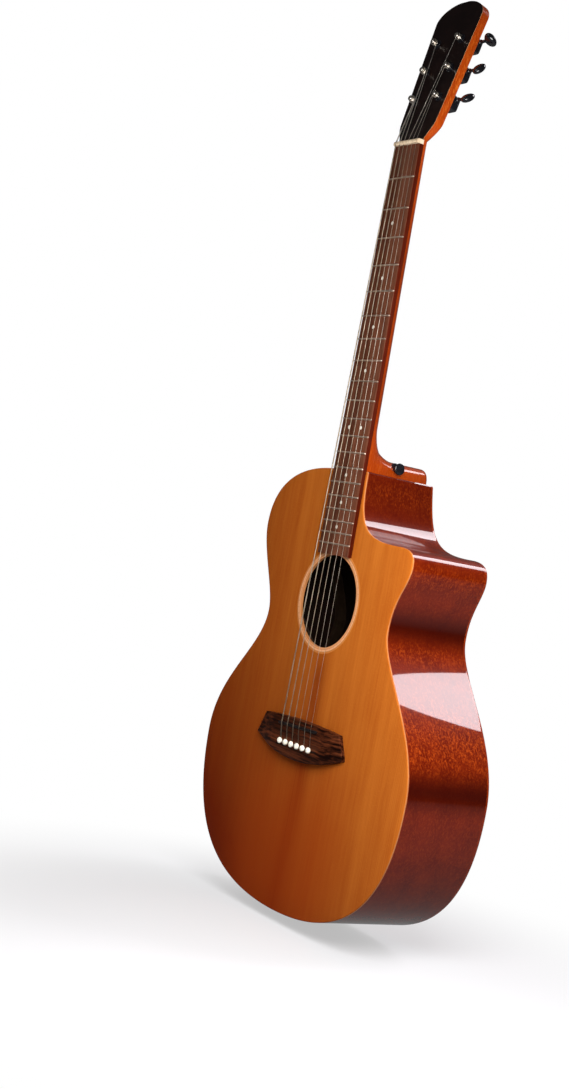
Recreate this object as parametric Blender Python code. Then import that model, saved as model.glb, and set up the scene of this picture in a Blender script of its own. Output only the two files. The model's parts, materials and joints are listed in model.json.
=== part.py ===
"""Steel-string acoustic guitar with a cutaway, modelled piece by piece.

Metres, +Z up the neck, +X to the treble side, the soundboard faces -Y.
The origin is the centre of the end pin's outer face, the guitar's lowest point.
"""
import bmesh
import bpy
import numpy as np
from math import asin, atan2, cos, pi, radians, sin
from mathutils import Matrix, Vector
from mathutils.geometry import delaunay_2d_cdt

# Clearances
SEAT_GAP = 0.0003
SEAM = 0.0003
RUN_GAP = 0.0003
CUT_MARGIN = 0.0100
CDT_TOLERANCE = 1e-7
WELD_DISTANCE = 1e-6
PIN_SEGMENTS = 12
FITTING_SEGMENTS = 16
SEAT_SEGMENTS = 20

# String layout
SCALE_LENGTH = 0.648
FRET_COUNT = 20
BODY_FRET = 14
BODY_FRET_OVERHANG = 0.0015
STRING_COUNT = 6
STRING_RADII = (0.00068, 0.00054, 0.00042, 0.00031, 0.00021, 0.00016)
NUT_SPACING = 0.0073
PIN_SPACING = 0.01134
STRING_LIFT_AT_NUT = 0.0012

# Body outline: half widths, heights above the tail, and the reach of each curve handle
BODY_LENGTH = 0.4915
LOWER_BOUT_HALF = 0.1954
TAIL_REACH = 0.7543 * LOWER_BOUT_HALF
LOWER_BOUT_AT = 0.3361 * BODY_LENGTH
LOWER_BOUT_DROP = 0.1972 * BODY_LENGTH
LOWER_BOUT_RISE = 0.1414 * BODY_LENGTH
WAIST_HALF = 0.1137
WAIST_AT = 0.6531 * BODY_LENGTH
WAIST_DROP = 0.0940 * BODY_LENGTH
WAIST_RISE = 0.0517 * BODY_LENGTH
UPPER_BOUT_HALF = 0.1492
UPPER_BOUT_AT = 0.8519 * BODY_LENGTH
UPPER_BOUT_DROP = 0.0641 * BODY_LENGTH
UPPER_BOUT_RISE = 0.1044 * BODY_LENGTH
SHOULDER_FLAT = 0.0336
SHOULDER_REACH = 0.4437 * UPPER_BOUT_HALF
BASS_STEPS = (13, 10, 7, 9)

# Cutaway side of the outline
TREBLE_WAIST_HALF = 0.1151
TREBLE_WAIST_AT = 0.6690 * BODY_LENGTH
TREBLE_WAIST_DROP = 0.0787 * BODY_LENGTH
TREBLE_WAIST_RISE = 0.0728 * BODY_LENGTH
HORN_HALF = 0.1369
HORN_AT = 0.8116 * BODY_LENGTH
HORN_DROP = 0.0393 * BODY_LENGTH
HORN_RISE = 0.0122 * BODY_LENGTH
HORN_TOP_X = 0.1100
HORN_TOP_AT = 0.8492 * BODY_LENGTH
HORN_TOP_REACH = 0.0265
CUTAWAY_REACH = 0.0616
THROAT_X = 0.0299
THROAT_AT = 0.9878 * BODY_LENGTH
THROAT_REACH = 0.1150 * BODY_LENGTH
TREBLE_STEPS = (13, 10, 6, 6, 10)

# Body depth and walls
TAIL_DEPTH = 0.1140
BACK_SLOPE = 0.0035
BACK_TUCK = 0.0180
TUCK_POWER = 5
BACK_ARCH_RADIUS = 6.0
SOUNDBOARD_THICKNESS = 0.0028
BACK_THICKNESS = 0.0030
SIDE_THICKNESS = 0.0023
LINING_WIDTH = 0.0060
LINING_HEIGHT = 0.0120
BACK_RINGS = (1.0, 0.88, 0.74, 0.55, 0.30)

# Sound hole and rosette
HOLE_RADIUS = 0.0514
BOARD_OVER_HOLE = 0.00045
ROSETTE_MARGIN = 0.0022
ROSETTE_WIDTH = 0.0048
ROSETTE_DEPTH = 0.0012
HOLE_SEGMENTS = 48

# Blocks inside the body
TAIL_BLOCK_HALF = 0.045
TAIL_BLOCK_THICKNESS = 0.022
NECK_BLOCK_HALF = 0.036
NECK_BLOCK_HEIGHT = 0.058
TENON_HALF = 0.0095
TENON_LENGTH = 0.0170
TENON_DEPTH = 0.0780

# Braces
BRACE_WIDTH = 0.0070
BRACE_HEIGHT = 0.0130
TONE_BAR_WIDTH = 0.0060
TONE_BAR_HEIGHT = 0.0100
BACK_BRACE_WIDTH = 0.0080
BACK_BRACE_HEIGHT = 0.0140
BRACE_TIP = 0.0035
BRACE_TAPER = 0.18
BRACE_SHOULDER = 0.55
BRACE_STATIONS = 11
CROSS_BELOW_HOLE = 0.028
CROSS_SLOPE = radians(41)
TONE_BAR_SLOPE = radians(-24)
UPPER_TONE_BAR_DROP = 0.0549
LOWER_TONE_BAR_DROP = 0.1049
BACK_BRACE_SHARES = (0.173, 0.376, 0.590, 0.783)
BRIDGE_PLATE_THICKNESS = 0.0025
BRIDGE_PLATE_RISE = 0.022
BRIDGE_PLATE_DROP = 0.014

# Bridge, saddle and pins
BRIDGE_HALF_LENGTH = 0.084
BRIDGE_FLAT_HALF = 0.042
BRIDGE_SHOULDER_HALF = 0.072
BRIDGE_HEIGHT = 0.0085
BRIDGE_WING_HEIGHT = 0.0042
BRIDGE_CHAMFER = 0.0012
BRIDGE_TOP_RISE = 0.0285
BRIDGE_SHOULDER_RISE = 0.0255
BRIDGE_TIP_RISE = 0.0010
BRIDGE_BELLY_DROP = 0.0165
BRIDGE_TIP_HALF = 0.0010
SADDLE_LENGTH = 0.0740
SADDLE_THICKNESS = 0.0030
SADDLE_SLOT_DEPTH = 0.0050
SADDLE_HEIGHT = 0.0110
SADDLE_SLANT = 0.0022
SADDLE_COMPENSATION = 0.0012
PIN_BELOW_SADDLE = 0.0202
PIN_LENGTH = 0.0220
PIN_TOP_RADIUS = 0.00250
PIN_TIP_RADIUS = 0.00190
PIN_HEAD_RADIUS = 0.00330
PIN_HEAD_HEIGHT = 0.0040
PIN_SLOT_REACH = 0.0046
PIN_SLOT_HALF = 0.0010
STRING_DROP_AT = 0.0035
BALL_RADIUS = 0.00115
BALL_BELOW_PLATE = 0.0020

# Neck, heel and fingerboard
NUT_WIDTH = 0.0442
BODY_FRET_WIDTH = 0.0553
BOARD_THICKNESS = 0.0065
BOARD_RADIUS = 0.406
BOARD_END_MARGIN = 0.0123
FRET_HEIGHT = 0.0010
FRET_WIDTH = 0.0024
FRET_CROWN = 0.0010
NECK_SECTION_POINTS = 16
NECK_DEPTH_AT_NUT = 0.0115
NECK_DEPTH_AT_HEEL = 0.0140
HEEL_SHELF = 0.0170
HEEL_CURVE = 0.0310
HEEL_DEPTH = 0.0955
HEEL_MID_HALF = 0.0225
HEEL_CAP_HALF = 0.0150
HEEL_CORNER = 0.0060
HEEL_SIDE_LOSS = 0.6
NECK_ROUNDNESS = 2.0
HEEL_ROUNDNESS = 2.9
HEAD_ROUNDNESS = (2.4, 10.0)
NUT_THICKNESS = 0.0052
NUT_SLOT_MARGIN = 0.0003
NUT_HEIGHT = 0.0091
ROD_HALF = 0.0030
ROD_DEPTH = 0.0080
ROD_MARGIN = 0.0100

# Head
HEAD_TILT = radians(13)
HEAD_LENGTH = 0.1720
HEAD_THICKNESS = 0.0108
VENEER_THICKNESS = 0.0020
HEAD_BASE_HALF = 0.0305
HEAD_TOP_HALF = 0.0398
HEAD_FLARE = 0.0220
HEAD_CROWN = 0.0220
HEAD_BARE_TOP = 0.0160

# Tuning machines, in the head's own frame
POST_X = 0.0212
POST_FIRST = 0.0510
POST_PITCH = 0.0355
POST_RADIUS = 0.0030
POST_RISE = 0.0095
WINDING_RISE = (0.0030, 0.0070)
WINDING_LEAD = 0.0004
POST_CROWN = 0.0008
BUSHING_RADIUS = 0.0046
GEAR_RADIUS = 0.0037
GEAR_TEETH = 14
GEAR_WIDTH = 0.0037
TOOTH_DEPTH = 0.0005
WORM_RADIUS = 0.0017
WORM_DEPTH = 0.0005
WORM_TURNS = 3
KNOB_SHAFT_RADIUS = 0.0016
HOUSING_HALF = 0.0080
HOUSING_WALL = 0.0012
HOUSING_DEPTH = 0.0105
HOUSING_BELOW = 0.0070
HOUSING_ABOVE = 0.0100
HOUSING_TAB = 0.0095
HOUSING_TAB_SHARE = 0.55
HOUSING_BEVEL = 0.0011
KNOB_REACH = 0.0192
KNOB_LENGTH = 0.0130
KNOB_HALF_WIDTH = 0.0085
KNOB_HALF_THICKNESS = 0.0043
KNOB_TURNS = (12, 68, 30, 66, -30, -42)
KNOB_SIDES = 10
KNOB_SHAPE = ((0.0, 0.34, 0.62), (0.12, 0.66, 0.85), (0.34, 0.96, 1.0), (0.60, 1.0, 1.0),
              (0.84, 0.78, 0.82), (1.0, 0.34, 0.36))

# Strap hardware
END_PIN_REACH = 0.0125
STRAP_HEAD_RADIUS = 0.0066
STRAP_WAIST_RADIUS = 0.0042
STRAP_BASE_RADIUS = 0.0062
STRAP_SHANK_RADIUS = 0.0030
STRAP_SHANK_LENGTH = 0.0160
HEEL_BUTTON_REACH = 0.0115
HEEL_BUTTON_DEPTH = 0.0425
HEEL_SEAT_X = 0.0190
SCREW_RADIUS = 0.0016
SCREW_LENGTH = 0.0140
HEEL_BUTTON_RISE = 0.60

# Derived places
FRONT_Y = -TAIL_DEPTH / 2
TAIL_Z = END_PIN_REACH
TOP_Z = TAIL_Z + BODY_LENGTH
BOARD_BACK = FRONT_Y + SOUNDBOARD_THICKNESS
NUT_Z = TOP_Z + SCALE_LENGTH * (1 - 2 ** (-BODY_FRET / 12)) + BODY_FRET_OVERHANG
HEAD_START = NUT_Z + NUT_THICKNESS + SEAT_GAP
BOARD_END_Z = NUT_Z - SCALE_LENGTH * (1 - 2 ** (-FRET_COUNT / 12)) - BOARD_END_MARGIN
HOLE_Z = BOARD_END_Z + BOARD_OVER_HOLE - HOLE_RADIUS
SADDLE_Z = NUT_Z - SCALE_LENGTH - SADDLE_COMPENSATION
PIN_Z = SADDLE_Z - PIN_BELOW_SADDLE

HEAD = Matrix.Translation((0, FRONT_Y, HEAD_START)) @ Matrix.Rotation(-HEAD_TILT, 4, "X")

FINISHES = {
    "spruce_top": ((0.62, 0.27, 0.06), 0.25, 0.0),
    "inner_wood": ((0.60, 0.42, 0.24), 0.70, 0.0),
    "red_mahogany": ((0.20, 0.03, 0.01), 0.12, 0.0),
    "neck_wood": ((0.48, 0.12, 0.02), 0.22, 0.0),
    "rosewood": ((0.12, 0.05, 0.03), 0.45, 0.0),
    "black_veneer": ((0.012, 0.010, 0.010), 0.20, 0.0),
    "cream_bone": ((0.85, 0.72, 0.52), 0.40, 0.0),
    "ivory_pin": ((0.90, 0.87, 0.76), 0.30, 0.0),
    "dark_saddle": ((0.05, 0.045, 0.045), 0.40, 0.0),
    "pale_inlay": ((0.80, 0.58, 0.30), 0.35, 0.0),
    "black_metal": ((0.015, 0.015, 0.018), 0.18, 0.8),
    "string_metal": ((0.70, 0.62, 0.50), 0.30, 1.0),
    "steel": ((0.55, 0.56, 0.58), 0.35, 1.0),
}


def clear_scene():
    """Remove every object that the scene starts with."""
    for obj in list(bpy.data.objects):
        bpy.data.objects.remove(obj, do_unlink=True)


def material(finish):
    """Return the Principled material of a finish, made once."""
    found = bpy.data.materials.get(finish)
    if found:
        return found
    colour, roughness, metallic = FINISHES[finish]
    made = bpy.data.materials.new(finish)
    made.use_nodes = True
    shader = made.node_tree.nodes["Principled BSDF"]
    shader.inputs["Base Color"].default_value = (*colour, 1.0)
    shader.inputs["Roughness"].default_value = roughness
    shader.inputs["Metallic"].default_value = metallic
    made.diffuse_color = (*colour, 1.0)
    return made


def add_object(name, mesh, finish, parent=None, place=None, smooth=30):
    """Link a mesh to the scene as a named object with its finish."""
    mesh.materials.append(material(finish))
    mesh.shade_smooth()
    mesh.set_sharp_from_angle(angle=radians(smooth))
    obj = bpy.data.objects.new(name, mesh)
    bpy.context.collection.objects.link(obj)
    obj.parent = parent
    if place is not None:
        obj.matrix_local = place
    return obj


def mesh_from_bmesh(name, bm):
    """Turn a bmesh into a mesh with its faces outwards."""
    bmesh.ops.recalc_face_normals(bm, faces=bm.faces)
    mesh = bpy.data.meshes.new(name)
    bm.to_mesh(mesh)
    bm.free()
    return mesh


def loft_mesh(name, rings):
    """Join rings of equally many points into one closed skin with flat ends."""
    bm = bmesh.new()
    rows = [[bm.verts.new(point) for point in ring] for ring in rings]
    count = len(rows[0])
    for low, high in zip(rows, rows[1:]):
        for i in range(count):
            j = (i + 1) % count
            bm.faces.new((low[i], low[j], high[j], high[i]))
    ends = [bm.faces.new(rows[0]), bm.faces.new(rows[-1])]
    bmesh.ops.triangulate(bm, faces=ends, ngon_method="EAR_CLIP")
    return mesh_from_bmesh(name, bm)


def prism_mesh(name, loop, low, high):
    """Raise an XZ outline between two Y heights, each a number or a function of x and z."""
    low_y = low if callable(low) else lambda x, z: low
    high_y = high if callable(high) else lambda x, z: high
    flat = [Vector(point) for point in loop]
    count = len(flat)
    edges = [(i, (i + 1) % count) for i in range(count)]
    filled = delaunay_2d_cdt(flat, edges, [list(range(count))], 1, CDT_TOLERANCE)
    bm = bmesh.new()
    low_row = [bm.verts.new((x, low_y(x, z), z)) for x, z in filled[0]]
    high_row = [bm.verts.new((x, high_y(x, z), z)) for x, z in filled[0]]
    for triangle in filled[2]:
        bm.faces.new([low_row[i] for i in triangle])
        bm.faces.new([high_row[i] for i in reversed(triangle)])
    for i, j in edges:
        bm.faces.new((low_row[i], low_row[j], high_row[j], high_row[i]))
    return mesh_from_bmesh(name, bm)


def lathe_mesh(name, profile, segments):
    """Spin a profile of (radius, height) points about the local Z axis."""
    bm = bmesh.new()
    verts = [bm.verts.new((radius, 0, height)) for radius, height in profile]
    edges = [bm.edges.new(pair) for pair in zip(verts, verts[1:])]
    bmesh.ops.spin(bm, geom=verts + edges, cent=(0, 0, 0), axis=(0, 0, 1), angle=2 * pi,
                   steps=segments, use_duplicate=False)
    bmesh.ops.remove_doubles(bm, verts=bm.verts, dist=WELD_DISTANCE)
    return mesh_from_bmesh(name, bm)


def box_mesh(name, low, high):
    """Return a box between two corners."""
    bm = bmesh.new()
    bmesh.ops.create_cube(bm, size=1.0)
    size = Vector(high) - Vector(low)
    bmesh.ops.scale(bm, vec=size, verts=bm.verts)
    bmesh.ops.translate(bm, vec=(Vector(high) + Vector(low)) / 2, verts=bm.verts)
    return mesh_from_bmesh(name, bm)


def cutter(mesh, parent=None, place=None):
    """Add a hidden object that other pieces are cut by or joined with."""
    obj = bpy.data.objects.new("tool_" + mesh.name, mesh)
    bpy.context.collection.objects.link(obj)
    obj.parent = parent
    if place is not None:
        obj.matrix_local = place
    obj.hide_render = True
    obj.display_type = "WIRE"
    return obj


def combine(obj, tool, operation="DIFFERENCE"):
    """Cut a piece by a tool, or join the tool to it."""
    modifier = obj.modifiers.new(tool.name, "BOOLEAN")
    modifier.operation = operation
    modifier.solver = "EXACT"
    modifier.object = tool


def along_y(x, z, y=0.0):
    """Place a lathe axis along +Y through (x, z)."""
    return Matrix.Translation((x, y, z)) @ Matrix.Rotation(-pi / 2, 4, "X")


def along_x(side):
    """Turn a lathe axis to point along +X for side 1 and along -X for side -1."""
    return Matrix.Rotation(side * pi / 2, 4, "Y")


# ---------------------------------------------------------------- outline of the body


def bezier(start, start_handle, end_handle, end, steps):
    """Sample a cubic curve, leaving out its last point."""
    t = np.linspace(0, 1, steps, endpoint=False)[:, None]
    points = [np.array(p) for p in (start, start_handle, end_handle, end)]
    weights = ((1 - t) ** 3, 3 * (1 - t) ** 2 * t, 3 * (1 - t) * t ** 2, t ** 3)
    return sum(w * p for w, p in zip(weights, points))


def smooth_path(stations, steps):
    """Run a curve through stations of (point, heading, reach behind, reach ahead)."""
    pieces = []
    ends = zip(stations, stations[1:], steps)
    for (p, heading, _, ahead), (q, next_heading, behind, _), count in ends:
        p, q, a, b = (np.array(v, float) for v in (p, q, heading, next_heading))
        pieces.append(bezier(p, p + a * ahead, q - b * behind, q, count))
    return np.vstack(pieces + [[stations[-1][0]]])


def bass_path():
    """Outline from the tail's centre round the bass side to the top's centre."""
    path = smooth_path([
        ((0, TAIL_Z), (-1, 0), 0, TAIL_REACH),
        ((-LOWER_BOUT_HALF, TAIL_Z + LOWER_BOUT_AT), (0, 1), LOWER_BOUT_DROP, LOWER_BOUT_RISE),
        ((-WAIST_HALF, TAIL_Z + WAIST_AT), (0, 1), WAIST_DROP, WAIST_RISE),
        ((-UPPER_BOUT_HALF, TAIL_Z + UPPER_BOUT_AT), (0, 1), UPPER_BOUT_DROP, UPPER_BOUT_RISE),
        ((-SHOULDER_FLAT, TOP_Z), (1, 0), SHOULDER_REACH, 0),
    ], BASS_STEPS)
    return np.vstack([path, [(0, TOP_Z)]])


def treble_path():
    """Outline from the tail's centre round the cutaway side to the top's centre."""
    path = smooth_path([
        ((0, TAIL_Z), (1, 0), 0, TAIL_REACH),
        ((LOWER_BOUT_HALF, TAIL_Z + LOWER_BOUT_AT), (0, 1), LOWER_BOUT_DROP, LOWER_BOUT_RISE),
        ((TREBLE_WAIST_HALF, TAIL_Z + TREBLE_WAIST_AT), (0, 1), TREBLE_WAIST_DROP,
         TREBLE_WAIST_RISE),
        ((HORN_HALF, TAIL_Z + HORN_AT), (0, 1), HORN_DROP, HORN_RISE),
        ((HORN_TOP_X, TAIL_Z + HORN_TOP_AT), (-1, 0), HORN_TOP_REACH, CUTAWAY_REACH),
        ((THROAT_X, TAIL_Z + THROAT_AT), (0, 1), THROAT_REACH, 0),
    ], TREBLE_STEPS)
    return np.vstack([path, [(THROAT_X, TOP_Z), (0, TOP_Z)]])


def distance_to_path(points, path):
    """Return each point's distance to an open path."""
    start, step = path[:-1], np.diff(path, axis=0)
    offset = points[:, None] - start
    share = (offset * step).sum(-1) / (step ** 2).sum(-1)
    nearest = start + np.clip(share, 0, 1)[..., None] * step
    return np.linalg.norm(points[:, None] - nearest, axis=-1).min(1)


def inset_path(path, distance, side):
    """Move a half outline inwards, dropping the points that a tight corner leaves behind."""
    if distance == 0:
        return path.copy()
    step = np.diff(path, axis=0)
    normal = np.stack([step[:, 1], -step[:, 0]], 1) / np.linalg.norm(step, axis=1)[:, None]
    normal = -side * normal
    mitre = normal[:-1] + normal[1:]
    mitre = 2 * mitre / (mitre ** 2).sum(1)[:, None]
    inner = path[1:-1] + distance * mitre
    inner = inner[distance_to_path(inner, path) > distance * 0.995]
    tail = (0, path[0, 1] + distance)
    top = (0, path[-1, 1] - distance)
    return np.vstack([[tail], inner, [top]])


def body_polygon(distance):
    """Return the closed outline, moved inwards by a distance."""
    bass = inset_path(bass_path(), distance, -1)
    treble = inset_path(treble_path(), distance, 1)
    return np.vstack([bass, treble[-2:0:-1]])


def clip(polygon, point, normal):
    """Keep the part of a polygon that lies on the normal's side of a line."""
    point, normal = np.array(point, float), np.array(normal, float)
    heights = (polygon - point) @ normal
    kept = []
    for i in range(len(polygon)):
        j = (i + 1) % len(polygon)
        if heights[i] >= 0:
            kept.append(polygon[i])
        if (heights[i] >= 0) != (heights[j] >= 0):
            share = heights[i] / (heights[i] - heights[j])
            kept.append(polygon[i] + share * (polygon[j] - polygon[i]))
    return np.array(kept)


def reach(polygon, origin, direction):
    """Return how far a ray runs inside a polygon before it first leaves."""
    origin, direction = np.array(origin, float), np.array(direction, float)
    start, step = polygon, np.roll(polygon, -1, axis=0) - polygon
    cross = direction[0] * step[:, 1] - direction[1] * step[:, 0]
    cross = np.where(abs(cross) < 1e-12, 1e-12, cross)
    gap = start - origin
    far = (gap[:, 0] * step[:, 1] - gap[:, 1] * step[:, 0]) / cross
    share = (gap[:, 0] * direction[1] - gap[:, 1] * direction[0]) / cross
    return far[(share >= 0) & (share <= 1) & (far > 0)].min()


def span(polygon, centre, direction, width):
    """Return the two ends of a bar of a width that just fits in a polygon."""
    centre, direction = np.array(centre, float), np.array(direction, float)
    across = np.array([-direction[1], direction[0]]) * width / 2
    ends = []
    for heading in (-direction, direction):
        free = min(reach(polygon, centre + side * across, heading) for side in (-1, 0, 1))
        ends.append(centre + heading * free)
    return ends


# ---------------------------------------------------------------- body


def back_outer_y(x, z):
    """Outer face of the back: it tapers to the neck end, tucks in there and arches across."""
    share = (z - TAIL_Z) / BODY_LENGTH
    depth = TAIL_DEPTH - BACK_SLOPE * share - BACK_TUCK * share ** TUCK_POWER
    return FRONT_Y + depth - x ** 2 / (2 * BACK_ARCH_RADIUS)


def back_inner_y(x, z):
    """Inner face of the back."""
    return back_outer_y(x, z) - BACK_THICKNESS


def under_back(x, z):
    """Seat of the pieces that touch the inside of the back."""
    return back_inner_y(x, z) - SEAT_GAP


def under_front(x, z):
    """Seat of the pieces that touch the inside of the soundboard."""
    return BOARD_BACK + SEAT_GAP


def pin_x(index):
    """Sideways place of a string at the bridge, bass string first."""
    return (index - (STRING_COUNT - 1) / 2) * PIN_SPACING


def nut_x(index):
    """Sideways place of a string at the nut."""
    return (index - (STRING_COUNT - 1) / 2) * NUT_SPACING


def pin_cutters():
    """Tapered pin holes with a slot for each string, through bridge, top and plate."""
    tools = []
    top = FRONT_Y - BRIDGE_HEIGHT
    profile = [(0, -CUT_MARGIN), (PIN_TOP_RADIUS + SEAT_GAP, -CUT_MARGIN),
               (PIN_TOP_RADIUS + SEAT_GAP, 0), (PIN_TIP_RADIUS + SEAT_GAP, PIN_LENGTH),
               (0, PIN_LENGTH)]
    for index in range(STRING_COUNT):
        x = pin_x(index)
        hole = cutter(lathe_mesh("pin_hole", profile, PIN_SEGMENTS), place=along_y(x, PIN_Z, top))
        slot = cutter(box_mesh("pin_slot", (x - PIN_SLOT_HALF, top - CUT_MARGIN, PIN_Z),
                               (x + PIN_SLOT_HALF, top + PIN_LENGTH, PIN_Z + PIN_SLOT_REACH)))
        tools += [hole, slot]
    return tools


def make_soundboard(tools):
    """Flat soundboard with its sound hole, rosette channel and pin holes."""
    mesh = prism_mesh("soundboard", body_polygon(0), FRONT_Y, BOARD_BACK)
    board = add_object("soundboard", mesh, "spruce_top")
    depth = SOUNDBOARD_THICKNESS * 4
    hole = [(0, -depth), (HOLE_RADIUS, -depth), (HOLE_RADIUS, depth), (0, depth)]
    place = along_y(0, HOLE_Z, FRONT_Y)
    combine(board, cutter(lathe_mesh("sound_hole", hole, HOLE_SEGMENTS), place=place))
    inner = HOLE_RADIUS + ROSETTE_MARGIN
    channel = ring_profile(inner - SEAT_GAP, inner + ROSETTE_WIDTH + SEAT_GAP,
                           -depth, ROSETTE_DEPTH + SEAT_GAP)
    ring_place = place @ Matrix.Rotation(pi / HOLE_SEGMENTS, 4, "Z")
    channel_mesh = lathe_mesh("rosette_channel", channel, HOLE_SEGMENTS)
    combine(board, cutter(channel_mesh, place=ring_place))
    ring = ring_profile(inner, inner + ROSETTE_WIDTH, 0, ROSETTE_DEPTH)
    ring_mesh = lathe_mesh("rosette", ring, HOLE_SEGMENTS)
    add_object("rosette", ring_mesh, "pale_inlay", place=ring_place)
    for tool in tools:
        combine(board, tool)


def ring_profile(inner, outer, low, high):
    """Closed rectangle to be spun into a ring."""
    return [(inner, low), (outer, low), (outer, high), (inner, high), (inner, low)]


def make_back():
    """Arched back plate, built in rings round a centre so that it follows the arch."""
    outline = body_polygon(0)
    centre = np.array((0, HOLE_Z - HOLE_RADIUS))
    bm = bmesh.new()
    skins = []
    for surface in (back_inner_y, back_outer_y):
        rows = []
        for share in BACK_RINGS:
            points = centre + share * (outline - centre)
            rows.append([bm.verts.new((x, surface(x, z), z)) for x, z in points])
        hub = bm.verts.new((centre[0], surface(*centre), centre[1]))
        skins.append((rows, hub))
    count = len(outline)
    for rows, hub in skins:
        for outer, inner in zip(rows, rows[1:]):
            for i in range(count):
                j = (i + 1) % count
                bm.faces.new((outer[i], outer[j], inner[j], inner[i]))
        for i in range(count):
            bm.faces.new((rows[-1][i], rows[-1][(i + 1) % count], hub))
    inside, outside = skins[0][0][0], skins[1][0][0]
    for i in range(count):
        j = (i + 1) % count
        bm.faces.new((inside[i], inside[j], outside[j], outside[i]))
    add_object("back_plate", mesh_from_bmesh("back_plate", bm), "red_mahogany", smooth=40)


def strip_polygon(path, outer, inner, side, tail_x, top_x):
    """Closed strip between two insets of a half outline, with its ends at given x."""
    near = inset_path(path, outer, side)
    far = inset_path(path, inner, side)
    for line in (near, far):
        line[0, 0] = side * tail_x
        line[-1, 0] = side * top_x
    return np.vstack([near, far[::-1]])


def make_sides(end_hole):
    """Two bent sides that meet at the tail and end at the heel's tenon."""
    for name, path, side in (("side_bass", bass_path(), -1), ("side_treble", treble_path(), 1)):
        loop = strip_polygon(path, 0, SIDE_THICKNESS, side, SEAM / 2, TENON_HALF + SEAT_GAP)
        mesh = prism_mesh(name, loop, under_front, under_back)
        combine(add_object(name, mesh, "red_mahogany", smooth=40), end_hole)


def trim(path, keep):
    """Return the middle run of a path where keep holds, cut exactly at its ends."""
    flags = [keep(point) for point in path]
    first, last = flags.index(True), len(flags) - 1 - flags[::-1].index(True)
    points = list(path[first:last + 1])
    if first > 0:
        points.insert(0, crossing(path[first - 1], path[first], keep))
    if last < len(path) - 1:
        points.append(crossing(path[last + 1], path[last], keep))
    return np.array(points)


def crossing(outside, inside, keep):
    """Halve a segment until the place where keep starts to hold is found."""
    for _ in range(30):
        middle = (outside + inside) / 2
        if keep(middle):
            inside = middle
        else:
            outside = middle
    return inside


def clear_of_blocks(point):
    """Say whether a point lies clear of the neck block and the tail block."""
    x, z = point
    in_tail = abs(x) < TAIL_BLOCK_HALF + SEAT_GAP and z < (TAIL_Z + TOP_Z) / 2
    in_neck = x > -NECK_BLOCK_HALF - SEAT_GAP and z > neck_block_bottom() - SEAT_GAP
    return not (in_tail or in_neck)


def neck_block_bottom():
    """Lower end of the neck block."""
    return TOP_Z - SIDE_THICKNESS - NECK_BLOCK_HEIGHT


def make_linings():
    """Four strips that glue the sides to the soundboard and to the back."""
    near = SIDE_THICKNESS + SEAT_GAP
    for half, path, side in (("bass", bass_path(), -1), ("treble", treble_path(), 1)):
        outer = trim(inset_path(path, near, side), clear_of_blocks)
        inner = trim(inset_path(path, near + LINING_WIDTH, side), clear_of_blocks)
        loop = np.vstack([outer, inner[::-1]])
        front = prism_mesh("lining_front_" + half, loop, under_front,
                           lambda x, z: under_front(x, z) + LINING_HEIGHT)
        add_object("lining_front_" + half, front, "inner_wood")
        back = prism_mesh("lining_back_" + half, loop,
                          lambda x, z: under_back(x, z) - LINING_HEIGHT, under_back)
        add_object("lining_back_" + half, back, "inner_wood")


def make_blocks(end_hole):
    """Neck block with the heel's mortise, and tail block with the end pin's hole."""
    inside = body_polygon(SIDE_THICKNESS + SEAT_GAP)
    loop = clip(inside, (0, TAIL_Z + SIDE_THICKNESS + TAIL_BLOCK_THICKNESS), (0, -1))
    loop = clip(clip(loop, (-TAIL_BLOCK_HALF, 0), (1, 0)), (TAIL_BLOCK_HALF, 0), (-1, 0))
    mesh = prism_mesh("tail_block", loop, under_front, under_back)
    combine(add_object("tail_block", mesh, "inner_wood"), end_hole)
    loop = clip(inside, (0, neck_block_bottom()), (0, 1))
    loop = clip(clip(loop, (-NECK_BLOCK_HALF, 0), (1, 0)), (NECK_BLOCK_HALF, 0), (-1, 0))
    mesh = prism_mesh("neck_block", loop, under_front, under_back)
    block = add_object("neck_block", mesh, "inner_wood")
    mortise = box_mesh("mortise",
                       (-TENON_HALF - SEAT_GAP, FRONT_Y, TOP_Z - TENON_LENGTH - SEAT_GAP),
                       (TENON_HALF + SEAT_GAP, tenon_back_y() + SEAT_GAP, TOP_Z + TENON_LENGTH))
    combine(block, cutter(mortise))


def tenon_back_y():
    """Back end of the heel's tenon."""
    return BOARD_BACK + TENON_DEPTH


# ---------------------------------------------------------------- braces


def brace_height(share, height):
    """Full height along the middle, curving down to the tip height at both ends."""
    edge = min(share, 1 - share) / BRACE_TAPER
    rise = 1 if edge >= 1 else sin(edge * pi / 2)
    return BRACE_TIP + (height - BRACE_TIP) * rise


def brace_mesh(name, ends, width, height, seat, inwards):
    """Bar with a pointed back along a line, standing on a seat surface."""
    start, end = (np.array(p) for p in ends)
    along = (end - start) / np.linalg.norm(end - start)
    across = np.array((-along[1], along[0])) * width / 2
    rings = []
    for share in np.linspace(0, 1, BRACE_STATIONS):
        middle = start + (end - start) * share
        tall = brace_height(share, height)
        ring = []
        for side, lift in ((-1, 0), (-1, BRACE_SHOULDER), (0, 1), (1, BRACE_SHOULDER), (1, 0)):
            x, z = middle + side * across
            ring.append((x, seat(x, z) + inwards * lift * tall, z))
        rings.append(ring)
    return loft_mesh(name, rings)


def inner_polygon():
    """Space inside the linings that braces may fill."""
    margin = SIDE_THICKNESS + LINING_WIDTH + 3 * SEAT_GAP
    inside = body_polygon(margin)
    inside = clip(inside, (0, neck_block_bottom() - SEAT_GAP), (0, -1))
    tail = TAIL_Z + SIDE_THICKNESS + TAIL_BLOCK_THICKNESS + 2 * SEAT_GAP
    return clip(inside, (0, tail), (0, 1))


def cross_centre():
    """Where the two long braces cross, below the sound hole."""
    return np.array((0, HOLE_Z - HOLE_RADIUS - CROSS_BELOW_HOLE))


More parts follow.
